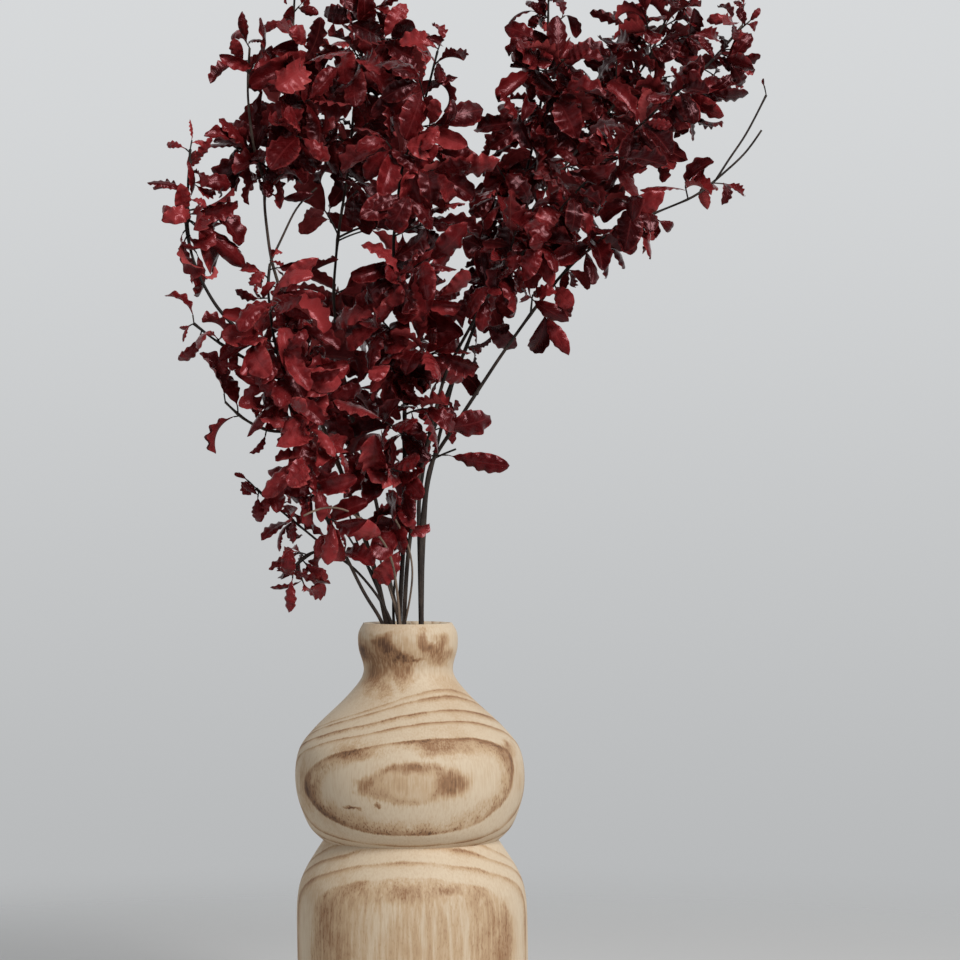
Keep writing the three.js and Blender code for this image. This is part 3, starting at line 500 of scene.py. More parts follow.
def stem_shoots(stem):
    """A stem's main shoot, standing on the bore's floor, and its branches."""
    route = np.array(stem["route"], float)
    route[0, 2] = BORE_FLOOR + CUT_END_GAP
    shoots = [shoot(route, stem["radius"], STEM_SIDES, stem["sprays"])]
    for branch in stem.get("branches", []):
        branch_route = np.vstack([route_point(route, branch["at"]), branch["route"]])
        shoots.append(shoot(branch_route, branch["radius"], BRANCH_SIDES, branch["sprays"]))
    return shoots


def soften(stem):
    """Sets branches and twigs on the softened wood, with twigs longer where the leaves are smaller."""
    main = stem["shoots"][0]
    for branch in stem["shoots"][1:]:
        root = nearest(main["line"], branch["route"][0])
        branch["line"] = soft_route(np.vstack([root, branch["route"][1:]]))
    for twig in stem["twigs"]:
        twig["start"] = nearest(twig["parent"]["line"], twig["start"])
        twig["scale"] = stem["looks"].get("scale", 1)
        longer = (1 - twig["scale"]) * LEAF_REACH * LEAF_LENGTH * twig["size"]
        twig["end"] = twig["end"] + longer * unit(twig["end"] - twig["start"])
        twig["length"] += longer


def grow_wood():
    """The wood of every stem: its main shoot, its branches, and the twigs of its sprays."""
    stems = []
    for row in STEMS:
        shoots = stem_shoots(row)
        twigs = [spray_twig(parent, spray) for parent in shoots for spray in parent["sprays"]]
        stem = dict(name=row["name"], looks=LOOKS[row["name"]], shoots=shoots, twigs=twigs, leaves=[])
        soften(stem)
        stems.append(stem)
    return stems


# Growth of the leaves.
def twig_tangent(twig, share):
    first = (twig["middle"] - twig["start"]) * (1 - share)
    return unit(first + (twig["end"] - twig["middle"]) * share)


def twig_facing(twig, s, t):
    """The way that a twig's end leaf faces: towards the light, turned about the twig by chance."""
    chord = unit(twig["end"] - twig["start"])
    light = LIGHT_SIDE if abs(np.dot(chord, LIGHT_SIDE)) < LIGHT_ALONG else UPWARDS
    return turned(across_to(light, chord), chord, FACE_TWIST * (draw(s, t, 0, "facing") - 0.5))


def leaf_at(twig, s, t, site, turn):
    """One leaf: its place, its directions, its size and the bends of its blade."""
    def chance(use):
        return draw(s, t, site, use)

    at_end = site == 0
    spacing = min(max(twig["length"] / SITES_ALONG, LEAF_SPACING[0]), LEAF_SPACING[1])
    share = 1 if at_end else max(LOWEST_LEAF, TOP_SITE - site * spacing / twig["length"])
    tangent = twig_tangent(twig, share)
    up = across_to(twig["facing"], tangent)
    aside = np.cross(up, tangent)
    around = 2 * math.pi * draw(s, t, 0, "around") + site * SITE_TURN + turn
    outward = aside * math.cos(around) + up * math.sin(around)
    splay = between(END_SPLAY if at_end else SIDE_SPLAY, chance("splay"))
    direction = tangent * math.cos(splay) + outward * math.sin(splay)
    direction[2] -= LEAF_DROOP
    direction = unit(direction)
    jitter = np.array([chance("jitter_x"), chance("jitter_y"), chance("jitter_z")]) - 0.5
    face = twig["facing"] + (0 if at_end else FACE_MIX) * tangent + 2 * FACE_JITTER * jitter
    face = turned(across_to(face, direction), direction, END_TURN * turn if at_end else 0)
    length = BLADE_LENGTH * twig["size"] * twig["scale"] * between(LENGTH_SPREAD, chance("length"))
    strong = chance("strong_curl") < STRONG_CURL_SHARE
    return dict(
        root=bow_points(twig["start"], twig["middle"], twig["end"], [share])[0],
        direction=direction, face=face, length=length,
        width=length * LEAF_WIDTH * between(WIDTH_SPREAD, chance("width")),
        curl=between(STRONG_CURL if strong else CURL, chance("curl")),
        twist=between(TWIST, chance("twist")), sway=between(SWAY, chance("sway")),
        cup=between(CUP, chance("cup")) * (1 if chance("hollow") < HOLLOW_SHARE else -1),
        fold=between(FOLD, chance("fold")),
        wave=between(WAVE_HEIGHT, chance("wave")), waves=between(WAVE_COUNT, chance("waves")),
        phases=(2 * math.pi * chance("left_phase"), 2 * math.pi * chance("right_phase")),
        tip=between(TIP_POWER, chance("tip")), tint=chance("tint"),
    )


def midrib(leaf, shares):
    """Points along a blade's middle, with the sideways and the outward direction there."""
    angle = leaf["curl"] * shares
    aside = np.cross(leaf["face"], leaf["direction"])
    step = np.diff(shares, prepend=shares[0]) * leaf["length"]
    forward = np.cumsum(np.cos(angle) * step)[:, None]
    back = np.cumsum(np.sin(angle) * step)[:, None]
    sideways = (leaf["sway"] * leaf["length"] * shares ** 2)[:, None]
    points = leaf["root"] + forward * leaf["direction"] - back * leaf["face"] + sideways * aside
    normal = np.cos(angle)[:, None] * leaf["face"] + np.sin(angle)[:, None] * leaf["direction"]
    return points, np.broadcast_to(aside, points.shape), normal


def blade_probes(leaf):
    """Points on both halves of a blade, which stand for the room that it takes."""
    points, aside, _ = midrib(leaf, np.linspace(0, 1, ROOM_ROWS))
    side = aside[ROOM_FROM:] * leaf["width"] * ROOM_SIDE
    return np.vstack([points[ROOM_FROM:] - side, points[ROOM_FROM:] + side])


def leaf_count(stem, twig):
    more = min(twig["length"] / TWIG_PER_LEAF, LONG_TWIG_LEAVES)
    count = max(SHORT_TWIG_LEAVES + more, LEAST_LEAVES) + stem["looks"].get("extra", 0)
    return min(count, twig["leaf_limit"])


def gap_to(leaf, taken):
    """How far a leaf is from the nearest of the points that are taken."""
    gaps = np.linalg.norm(blade_probes(leaf)[:, None] - taken[None], axis=2)
    return gaps.min() if gaps.size else LEAF_LENGTH


def grow_leaves(stems):
    """The leaves, each turned about its twig to where it has most room."""
    taken = np.vstack([part["probes"] for stem in stems for part in stem["shoots"]])
    most = sum(len(stem["twigs"]) for stem in stems) * MOST_LEAVES
    room = np.empty((len(taken) + most * 2 * (ROOM_ROWS - ROOM_FROM), 3))
    filled = len(taken)
    room[:filled] = taken
    for site in range(MOST_LEAVES):
        for s, stem in enumerate(stems):
            for t, twig in enumerate(stem["twigs"]):
                if site >= leaf_count(stem, twig):
                    continue
                if site == 0:
                    twig["facing"] = twig_facing(twig, s, t)
                tries = [leaf_at(twig, s, t, site, TURN_STEP * turn) for turn in range(TURN_TRIES)]
                apart = np.linalg.norm(room[:filled] - tries[0]["root"], axis=1)
                near = room[:filled][(apart < 2 * LEAF_LENGTH) & (apart > OWN_ROOM)]
                best = max(tries, key=lambda leaf: gap_to(leaf, near))
                probes = blade_probes(best)
                room[filled:filled + len(probes)] = probes
                filled += len(probes)
                stem["leaves"].append(best)


# Meshes.
class Pile:
    """Points and faces gathered for one object, with numbers at the points for its materials."""

    def __init__(self):
        self.points = []
        self.faces = []
        self.materials = []
        self.numbers = {"tint": [], "along": [], "across": []}
        self.rims = []
        self.size = 0

    def add(self, points, faces, materials, tint=0, along=0, across=0, rim=False):
        points = points.reshape(-1, 3)
        count = len(points)
        self.points.append(points)
        self.faces.append(faces + self.size)
        self.materials.append(np.broadcast_to(materials, len(faces)))
        for name, values in (("tint", tint), ("along", along), ("across", across)):
            self.numbers[name].append(np.broadcast_to(np.ravel(values), count))
        self.rims.append(np.broadcast_to(rim, count))
        self.size += count

    def build(self, name, materials):
        """The gathered faces as one smooth mesh object in metres, creased along the rims."""
        mesh = bpy.data.meshes.new(name)
        points = np.vstack(self.points) * MM
        mesh.from_pydata(points.tolist(), [], np.vstack(self.faces).tolist())
        mesh.polygons.foreach_set("material_index", np.concatenate(self.materials).astype(np.int32))
        mesh.shade_smooth()
        for key, values in self.numbers.items():
            attribute = mesh.attributes.new(key, "FLOAT", "POINT")
            attribute.data.foreach_set("value", np.concatenate(values).astype(np.float32))
        ends = np.empty(2 * len(mesh.edges), np.int32)
        mesh.edges.foreach_get("vertices", ends)
        sharp = np.concatenate(self.rims)[ends.reshape(-1, 2)].all(axis=1)
        creases = mesh.attributes.new("sharp_edge", "BOOLEAN", "EDGE")
        creases.data.foreach_set("value", sharp)
        for material in materials:
            mesh.materials.append(material)
        return add_object(name, mesh)


def add_object(name, data):
    made = bpy.data.objects.new(name, data)
    bpy.context.scene.collection.objects.link(made)
    return made


LEAF_TOP, LEAF_UNDER, BARK = range(3)


def grid_faces(index):
    """Four-cornered faces over a grid of point numbers, facing the way its rows cross its columns."""
    corners = [index[:-1, :-1], index[1:, :-1], index[1:, 1:], index[:-1, 1:]]
    return np.stack(corners, axis=-1).reshape(-1, 4)


def tube_faces(rings, sides):
    """Outward faces of a tube of rings with an even number of sides, closed flat at both ends."""
    index = np.arange(rings * sides).reshape(rings, sides)
    half = sides // 2
    ends = [
        np.stack([ring[:half - 1], ring[1:half], ring[-2:-half - 1:-1], ring[-1:-half:-1]], 1)
        for ring in (index[0, ::-1], index[-1])
    ]
    index = np.hstack([index, index[:, :1]])
    return np.vstack([grid_faces(index)[:, ::-1], *ends])


def blade_faces():
    """The faces of one blade: its upper grid, and a lower one that shares the rim."""
    rows, columns = LEAF_ROWS + 1, len(LEAF_COLUMNS)
    upper = np.arange(rows * columns).reshape(rows, columns)
    lower = upper.copy()
    inner = (rows - 2) * (columns - 2)
    lower[1:-1, 1:-1] = rows * columns + np.arange(inner).reshape(rows - 2, columns - 2)
    rim = np.zeros(rows * columns + inner, bool)
    rim[upper[:, [0, -1]]] = True
    faces = np.vstack([grid_faces(upper), grid_faces(lower)[:, ::-1]])
    sides = np.repeat([LEAF_TOP, LEAF_UNDER], len(faces) // 2)
    return faces, sides, rim


BLADE_FACES, BLADE_SIDES, BLADE_RIM = blade_faces()


def add_blade(pile, leaf):
    """One leaf as a thin closed blade: arched, cupped, folded and waved along its edges."""
    s = np.linspace(0, 1, LEAF_ROWS + 1)
    u = LEAF_COLUMNS[None, :]
    points, aside, normal = midrib(leaf, s)
    roll = (leaf["twist"] * s)[:, None]
    aside, normal = (aside * np.cos(roll) + normal * np.sin(roll),
                     normal * np.cos(roll) - aside * np.sin(roll))
    x = np.clip((s - PETIOLE_SHARE) / (1 - PETIOLE_SHARE), 0, 1)
    tip, cup, width = leaf["tip"], leaf["cup"], leaf["width"]
    peak = BASE_POWER / (BASE_POWER + tip)
    outline = x ** BASE_POWER * (1 - x) ** tip / (peak ** BASE_POWER * (1 - peak) ** tip)
    phase = np.where(u < 0, leaf["phases"][0], leaf["phases"][1])
    wave = np.sin(2 * math.pi * leaf["waves"] * x[:, None] + phase)
    half = np.maximum(outline * width / 2, PETIOLE_HALF * (1 - PETIOLE_TAPER * s))[:, None]
    half = half * (1 + SCALLOP * wave * np.abs(u) ** SCALLOP_POWER * (x[:, None] > 0))
    lateral = half * np.sin(cup * u) / cup
    height = half * (1 - np.cos(cup * u)) / cup + leaf["fold"] * half * np.abs(u)
    envelope = np.sqrt(np.clip(outline, 0, 1))[:, None]
    height = height + leaf["wave"] * width * wave * np.abs(u) ** WAVE_POWER * envelope
    height = height - GROOVE_DEPTH * width * np.exp(-(u / GROOVE_HALF) ** 2) * envelope
    upper = points[:, None] + lateral[..., None] * aside[:, None] + height[..., None] * normal[:, None]
    thickness = LEAF_THICKNESS * (1 - EDGE_THINNING * np.abs(LEAF_COLUMNS))[None, 1:-1, None]
    lower = upper[1:-1, 1:-1] - thickness * normal[1:-1, None]
    all_points = np.vstack([upper.reshape(-1, 3), lower.reshape(-1, 3)])
    grid = np.broadcast_to(s[:, None], height.shape), np.broadcast_to(u, height.shape)
    along, across = (np.concatenate([g.ravel(), g[1:-1, 1:-1].ravel()]) for g in grid)
    pile.add(all_points, BLADE_FACES, BLADE_SIDES, leaf["tint"], along, across, BLADE_RIM)


def add_tube(pile, centres, radii, sides, tint):
    """A closed tube along a line of centres, drawn in to a blunt end at both ends."""
    tangents = np.gradient(centres, axis=0)
    tangents /= np.linalg.norm(tangents, axis=1)[:, None]
    start = centres[:1] - BLUNT_END * radii[0] * tangents[:1]
    end = centres[-1:] + BLUNT_END * radii[-1] * tangents[-1:]
    centres = np.vstack([start, centres, end])
    tangents = np.vstack([tangents[:1], tangents, tangents[-1:]])
    radii = np.concatenate([[BLUNT_END * radii[0]], radii, [BLUNT_END * radii[-1]]])
    angles = np.linspace(0, 2 * math.pi, sides, endpoint=False)
    cosines, sines = np.cos(angles)[:, None], np.sin(angles)[:, None]
    normal = FIRST_SIDE
    rings = []
    for centre, tangent, radius in zip(centres, tangents, radii):
        normal = across_to(normal, tangent)
        rings.append(centre + radius * (cosines * normal + sines * np.cross(tangent, normal)))
    pile.add(np.array(rings), tube_faces(len(rings), sides), BARK, tint)


def add_shoot(pile, wood, twigs, tint):
    """A shoot's bark: a smooth tapering tube that swells where twigs leave it."""
    shares = step_shares(len(wood["line"]), STEM_STEP)
    centres = wood["line"][(shares * (len(wood["line"]) - 1)).astype(int)]
    radii = FINE_TIP_RADIUS + (wood["radius"] - FINE_TIP_RADIUS) * (1 - shares) ** TAPER
    for twig in twigs:
        if twig["parent"] is wood:
            apart = np.linalg.norm(centres - twig["start"], axis=1)
            radii = radii * (1 + NODE_SWELLING * np.exp(-(apart / NODE_REACH) ** 2))
    add_tube(pile, centres, radii, wood["sides"], tint)


def add_twig(pile, twig, tint):
    shares = step_shares(twig["length"], TWIG_STEP)
    centres = bow_points(twig["start"], twig["middle"], twig["end"], shares)
    add_tube(pile, centres, between([twig["radius"], TWIG_TIP_RADIUS], shares), TWIG_SIDES, tint)


def make_stem(number, stem, materials):
    """One stem's wood, twigs, bare shoots and leaves as one piece, in place of its solid."""
    pile = Pile()
    looks = stem["looks"]
    for k, wood in enumerate(stem["shoots"]):
        add_shoot(pile, wood, stem["twigs"], looks.get("bark", draw(number, k, 0, "bark")))
    for t, twig in enumerate(stem["twigs"]):
        add_twig(pile, twig, draw(number, t, 0, "twig_bark"))
    for owner, radius, paleness, route in BARE_SHOOTS:
        if owner == stem["name"]:
            bare = shoot(np.array(route, float), radius, BRANCH_SIDES, [])
            add_shoot(pile, bare, [], paleness)
    for leaf in stem["leaves"]:
        # Painted light and shade: a stem's colour shift makes its leaves brighter or darker than their dye
        # alone.
        leaf["tint"] += looks.get("tint", 0)
        for key in ("curl", "cup", "wave"):
            leaf[key] *= looks.get(key, 1)
        add_blade(pile, leaf)
    piece = pile.build(stem["name"] + "_leafy", materials)
    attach(piece, "root")
    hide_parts(stem["name"])


def vase_profile():
    """Radius and height from the middle of the base round the outside and down into the bore."""
    base = [[FLAT_MIDDLE, 0], [BASE_MIDDLE, 0]]
    lower = smooth_points(LOWER_BULB, LOWER_ROWS + 1)
    upper = smooth_points(UPPER_BULB, UPPER_ROWS + 1)[1:]
    turn = np.linspace(0, math.pi / 2, LIP_ROWS + 1)[1:]
    lip_radius = BORE_RADIUS + (UPPER_BULB[-1][0] - BORE_RADIUS) * (1 - np.sin(turn))
    lip = np.stack([lip_radius, VASE_HEIGHT - LIP_DROP * (1 - np.cos(turn))], 1)
    depth = np.linspace(lip[-1, 1], BORE_FLOOR, BORE_ROWS + 1)[1:]
    bore = np.stack([np.full(BORE_ROWS, BORE_RADIUS), depth], 1)
    floor = [[FLAT_MIDDLE, BORE_FLOOR]]
    foot, waist = len(base), len(base) + LOWER_ROWS
    return np.vstack([base, lower, upper, lip, bore, floor]), [foot, waist]


def make_vase(material):
    """The turned vase, creased at its foot and waist, in place of its solid."""
    pile = Pile()
    profile, creases = vase_profile()
    angles = np.linspace(0, 2 * math.pi, VASE_SIDES, endpoint=False)
    radius = profile[:, 0, None]
    height = np.broadcast_to(profile[:, 1, None], (len(profile), VASE_SIDES))
    lean = VASE_LEAN * height / VASE_HEIGHT
    points = np.stack([radius * np.cos(angles) - lean, radius * np.sin(angles), height], -1)
    sharp = np.zeros(len(profile), bool)
    sharp[creases] = True
    pile.add(points, tube_faces(len(profile), VASE_SIDES), 0, rim=np.repeat(sharp, VASE_SIDES))
    piece = pile.build("vase_turned", [material])
    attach(piece, "root")
    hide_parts("vase")


# Materials.
NOISE_SPREAD = (0.3, 0.7)


class Nodes:
    """The nodes of one material or surround, with short words for the sums between them."""

    def __init__(self, tree):
        self.tree = tree
        tree.nodes.clear()

    def add(self, kind, inputs=None, **settings):
        node = self.tree.nodes.new("ShaderNode" + kind)
        for key, value in settings.items():
            setattr(node, key, value)
        for key, value in (inputs or {}).items():
            self.put(value, node.inputs[key])
        return node

    def put(self, value, socket):
        if isinstance(value, bpy.types.NodeSocket):
            self.tree.links.new(value, socket)
        else:
            socket.default_value = value

    def calc(self, operation, *values):
        return self.add("Math", dict(enumerate(values)), operation=operation).outputs[0]

    def plus(self, *values):
        return functools.reduce(functools.partial(self.calc, "ADD"), values)

    def times(self, *values):
        return functools.reduce(functools.partial(self.calc, "MULTIPLY"), values)

    def minus(self, value, less):
        return self.calc("SUBTRACT", value, less)

    def vector(self, operation, *values, output=0):
        return self.add("VectorMath", dict(enumerate(values)), operation=operation).outputs[output]

    def span(self, value, low, high, to_low=0.0, to_high=1.0, kind="SMOOTHSTEP"):
        """A value between two ends moved to between two others, and held there outside them."""
        inputs = {"Value": value, "From Min": low, "From Max": high, "To Min": to_low, "To Max": to_high}
        return self.add("MapRange", inputs, interpolation_type=kind).outputs[0]

    def spread(self, value, to_low, to_high, ends=NOISE_SPREAD):
        """A noise, which keeps mostly between its ends, spread evenly between two others."""
        return self.span(value, *ends, to_low, to_high, "LINEAR")

    def ramp(self, value, stops):
        node = self.add("ValToRGB", {"Fac": value})
        elements = node.color_ramp.elements
        while len(elements) < len(stops):
            elements.new(1)
        for element, (place, colour) in zip(elements, stops):
            element.position = place
            element.color = (*colour, 1)
        return node.outputs[0]

    def mixed(self, share, a, b):
        node = self.add("Mix", {0: share}, data_type="RGBA")
        for value, socket in ((a, node.inputs[6]), (b, node.inputs[7])):
            self.put(value, socket)
        return node.outputs[2]

    def noise(self, place, scale, detail=2.0, roughness=0.5, output="Fac"):
        """Noise over a place, stretched where its scale has three numbers."""
        if isinstance(scale, tuple):
            place, scale = self.add("Mapping", {"Vector": place, "Scale": scale}).outputs[0], 1.0
        inputs = {"Vector": place, "Scale": scale, "Detail": detail, "Roughness": roughness}
        return self.add("TexNoise", inputs).outputs[output]

    def attribute(self, name):
        return self.add("Attribute", attribute_name=name).outputs["Fac"]


def new_material(name):
    """A material with its nodes, its shader and the place on the object."""
    material = bpy.data.materials.new(name)
    material.use_nodes = True
    nodes = Nodes(material.node_tree)
    shader = nodes.add("BsdfPrincipled")
    nodes.add("OutputMaterial", {"Surface": shader.outputs[0]})
    return material, nodes, shader, nodes.add("TexCoord").outputs["Object"]


def finish_shader(nodes, shader, colour, roughness, relief, strength, depth):
    """Gives a shader its colour, its roughness and a fine relief."""
    bump = nodes.add("Bump", {"Height": relief, "Strength": strength, "Distance": depth})
    for key, value in (("Base Color", colour), ("Roughness", roughness), ("Normal", bump.outputs[0])):
        nodes.put(value, shader.inputs[key])


# Dyed leaves: colours over the depth of the dye together with the stems' painted light and shade, and the
# colour of ribs and rim. Breadths are shares of the blade's half width, and scales are counts to the metre.
TOP_STOPS = [
    (0.0, (0.027, 0.0014, 0.0018)), (0.4, (0.068, 0.0038, 0.0046)), (0.75, (0.141, 0.0095, 0.011)),
    (1.0, (0.275, 0.03, 0.032)),
]
UNDER_STOPS = [(0.0, (0.07, 0.006, 0.0075)), (0.5, (0.185, 0.018, 0.02)), (1.0, (0.38, 0.062, 0.062))]
TOP_RIM = (0.25, 0.035, 0.037, 1)
UNDER_RIM = (0.38, 0.07, 0.06, 1)
SHEEN_TINT = (1, 0.5, 0.55, 1)
# Share of the rim's colour, roughness, share of the veins' colour and gloss.
TOP_FINISH = (0.35, 0.25, 0.22, 0.38)
UNDER_FINISH = (0.2, 0.5, 0.4, 0.16)
# Finish of both sides.
MOTTLE_SCALE, PATCH_SCALE, GRAIN_SCALE = 160.0, 35.0, 900.0
MOTTLE_DYE, PATCH_DYE = 0.16, 0.14
RIB_HALF = 0.1
VEIN_COUNT, VEIN_SLANT, VEIN_HALF, VEIN_DEPTH = 11.0, 3.2, 0.12, 0.4
VEIN_FADE = (0.95, 0.5)
RIM_BREADTH = (0.72, 1.0)
SMOOTHER, ROUGHER = 0.07, 0.09
GRAIN_RELIEF, LINE_RELIEF, MOTTLE_RELIEF = 0.25, -0.6, 0.9
LEAF_RELIEF = (0.35, 0.0006)


def leaf_material(name, stops, rim_colour, rim_share, roughness, vein_share, gloss):
    """Dyed leaf in a colour of its own plus its stem's painted light and shade, mottled, with a paler midrib,
    side veins and rim.
    """
    material, nodes, shader, place = new_material(name)
    tint, along, across = (nodes.attribute(key) for key in ("tint", "along", "across"))
    mottle = nodes.noise(place, MOTTLE_SCALE, detail=4.0, roughness=0.6)
    patches = nodes.noise(place, PATCH_SCALE)
    # The dye also carries each stem's painted light and shade, which comes in with the tint.
    dye_and_painted_shading = nodes.plus(tint, nodes.spread(mottle, -MOTTLE_DYE, MOTTLE_DYE),
                     nodes.spread(patches, -PATCH_DYE, PATCH_DYE))
    side = nodes.calc("ABSOLUTE", across)
    rib = nodes.span(side, 0.0, RIB_HALF, 1.0, 0.0)
    slant = nodes.minus(nodes.times(along, VEIN_COUNT), nodes.times(side, VEIN_SLANT))
    vein = nodes.span(nodes.calc("PINGPONG", slant, 0.5), 0.0, VEIN_HALF, 1.0, 0.0)
    vein = nodes.times(vein, nodes.span(side, *VEIN_FADE), VEIN_DEPTH)
    lines = nodes.calc("MAXIMUM", rib, vein)
    colour = nodes.mixed(nodes.times(lines, vein_share), nodes.ramp(dye_and_painted_shading, stops), rim_colour)
    colour = nodes.mixed(nodes.times(nodes.span(side, *RIM_BREADTH), rim_share), colour, rim_colour)
    shader.inputs["Specular IOR Level"].default_value = gloss
    shader.inputs["Specular Tint"].default_value = SHEEN_TINT
    sheen = nodes.spread(mottle, roughness - SMOOTHER, roughness + ROUGHER)
    relief = nodes.plus(
        nodes.times(nodes.noise(place, GRAIN_SCALE), GRAIN_RELIEF), nodes.times(lines, LINE_RELIEF),
        nodes.times(mottle, MOTTLE_RELIEF),
    )
    finish_shader(nodes, shader, colour, sheen, relief, *LEAF_RELIEF)
    return material


# Bark: colours over its paleness, what its tint and its wrinkles add to that, and its finish.
BARK_STOPS = [
    (0.15, (0.012, 0.0095, 0.009)), (0.5, (0.036, 0.027, 0.024)), (0.8, (0.1, 0.074, 0.06)),
    (1.0, (0.22, 0.16, 0.12)),
]
WRINKLE_SCALE, BARK_PATCH_SCALE = (700, 700, 90), 45.0
TINT_PALENESS, WRINKLE_PALENESS = 0.3, 0.5
PATCH_PALENESS = (-0.12, 0.2)
BARK_ROUGHNESS, BARK_GLOSS = 0.62, 0.15
BARK_RELIEF = (0.6, 0.0008)


def bark_material():
    """Thin dark bark with lengthwise wrinkles and paler patches."""
    material, nodes, shader, place = new_material("bark")
    wrinkles = nodes.noise(place, WRINKLE_SCALE, detail=4.0, roughness=0.65)
    patches = nodes.noise(place, BARK_PATCH_SCALE)
    paleness = nodes.plus(
        nodes.times(nodes.attribute("tint"), TINT_PALENESS), nodes.times(wrinkles, WRINKLE_PALENESS),
        nodes.spread(patches, *PATCH_PALENESS),
    )
    shader.inputs["Specular IOR Level"].default_value = BARK_GLOSS
    finish_shader(nodes, shader, nodes.ramp(paleness, BARK_STOPS), BARK_ROUGHNESS, wrinkles, *BARK_RELIEF)
    return material


# Wood of the vase: colours over the depth of the scorching, and its fibres, pores, patches and streaks.
WOOD_STOPS = [
    (0.0, (0.68, 0.555, 0.405)), (0.2, (0.55, 0.385, 0.235)), (0.5, (0.335, 0.18, 0.088)),
    (1.0, (0.115, 0.052, 0.026)),
]
FIBRE_SCALE, PORE_SCALE, STREAK_SCALE = (800, 800, 60), (900, 900, 260), (260, 260, 22)
BLOTCH_SCALE, CLOUD_SCALE, WARP_SCALE = (24, 24, 20), (45, 45, 30), (22, 22, 14)
WOOD_ROUGHNESS = (0.62, 0.78)
WOOD_RELIEF = (0.35, 0.0006)
# The pith stands behind the axis, nearer below a step at the waist than above it. From a height on it bends
# aside, by a distance that is reached over a bell's width.
PITH_BEHIND, PITH_STEP = (21.9, 24.7), (150, 176)
PITH_BEND_HEIGHT, PITH_BEND_WIDTH, PITH_BEND = 206, 61, 25.3
RING_WARP, RING_RAGGED = 1.1, 0.3
WARP_ENDS = (0.2, 0.8)
# Growth rings of the upper bulb, the lower bulb and the back: distance from the pith, depth of the fine
# line, depth of the brown wash inside it and how far that wash spreads.
UPPER_RINGS = [
    (74.1, 0.4, 0.4, 2.4), (77.9, 0.6, 0.6, 3.4), (86.6, 0.85, 0.8, 4.4), (94.4, 1.0, 0.4, 3.4),
    (104.2, 0.9, 1.0, 6.0), (113.5, 0.2, 0.55, 1.2),
]
LOWER_RINGS = [
    (84.5, 0.6, 0.5, 2.5), (90.4, 0.7, 0.5, 3.0), (97.4, 0.7, 0.4, 3.5), (104.3, 0.12, 0.42, 7.5),
]
BACK_RINGS = [
    (27.5, 0.6, 0.4, 4.0), (35.0, 0.7, 0.5, 4.0), (43.5, 0.8, 0.5, 4.0), (50.0, 0.7, 0.4, 4.0),
    (58.0, 0.8, 0.6, 4.0), (65.0, 0.6, 0.4, 3.0),
]
RING_SPAN = (24, 122)
BACK_FROM = (-5, 20)
PANEL_EDGE = (103, 107.5)
# How strongly lines, wash, specks and the panel's specks darken the wood.
LINE_DEPTH, WASH_DEPTH, SPECK_DEPTH, PANEL_SPECKS, LOOSE_SPECKS = 0.42, 0.4, 0.5, 0.3, 0.03
SPECK_ENDS = (0.53, 0.68)
# How noises vary the lines, the wash, the panel, the scorches and the bare wood: from what to what.
LINE_SPAN, WASH_SPAN = (0.34, 0.6, 0.35, 1.1), (0.34, 0.66, 0.15, 1.2)
PANEL_SPAN, BURN_SPAN = (*NOISE_SPREAD, 0.05, 0.5), (0.3, 0.65, 0.4, 1.1)
BURN_FIBRES = (*NOISE_SPREAD, 0.7, 1.2)
FIBRE_TINT, FIBRE_ENDS = (-0.05, 0.1), (0.3, 0.75)
BLOTCH_TINT = (0.45, 0.75, 0.0, 0.14)
FIBRE_RELIEF, SPECK_RELIEF, RING_RELIEF = 0.5, 0.8, 0.3
# Steps of a ring's fine line inwards, each with its share of the line's depth.
LINE_STEPS = [(-0.5, 0), (0, 1), (0.8, 0.4), (2.0, 0)]
# Scorched places of the vase: middle, half sizes and depth of colour.
SCORCHES = [
    ((-39, -12, 313), (14, 24, 15), 0.8), ((-24, -28, 322), (10, 16, 9), 0.6),
    ((-17, -33, 315), (11, 15, 8), 0.7), ((-9, -37, 309), (11, 13, 6), 0.85),
    ((0, -38, 305), (8, 12, 4), 1.0), ((-8, -42, 295), (10, 20, 16), 0.5),
    ((-31, -25, 291), (17, 24, 17), 0.38), ((-22, -40, 281), (8, 20, 12), 0.3),
    ((-18, -28, 308), (38, 32, 22), 0.5), ((24, -28, 308), (28, 26, 12), 0.46),
    ((33, -84, 213), (18, 26, 17), 0.5), ((-38, -82, 212), (9, 20, 11), 0.5),
    ((-3, -90, 226), (32, 14, 6), 0.35), ((-45, -76, 195), (11, 12, 2.2), 0.9),
    ((-25, -86, 197), (4, 8, 2.6), 0.8), ((-80, -36, 212), (18, 40, 32), 0.34),
    ((-42, -74, 238), (34, 24, 11), 0.34), ((28, -80, 241), (36, 24, 10), 0.5),
    ((74, -36, 237), (16, 24, 10), 0.4), ((30, -82, 133), (18, 14, 6), 0.42),
    ((2, -88, 130), (46, 16, 10), 0.16), ((-62, -62, 96), (26, 34, 46), 0.14),
    ((64, -60, 98), (34, 34, 48), 0.13), ((2, -88, 212), (46, 30, 18), 0.12),
]
# A crescent on the neck: a round scorch less a smaller one above it.
CRESCENT = ((17, -34, 321), (17, 17, 17))
CRESCENT_GAP = ((17, -34, 326), (12, 12, 12))
CRESCENT_HOLLOW = 1.6
SPOT_CORE = 0.1
SHAKE_SCALE, SHAKE = 90.0, (0.018, 0.018, 0.018)


def metres(values):
    return [value * MM for value in values]


def spot(nodes, place, centre, size):
    """One in the middle of an egg-shaped region, falling to nothing at its edge."""
    scaled = nodes.vector("DIVIDE", nodes.vector("SUBTRACT", place, metres(centre)), metres(size))
    return nodes.span(nodes.vector("LENGTH", scaled, output="Value"), 1.0, SPOT_CORE)


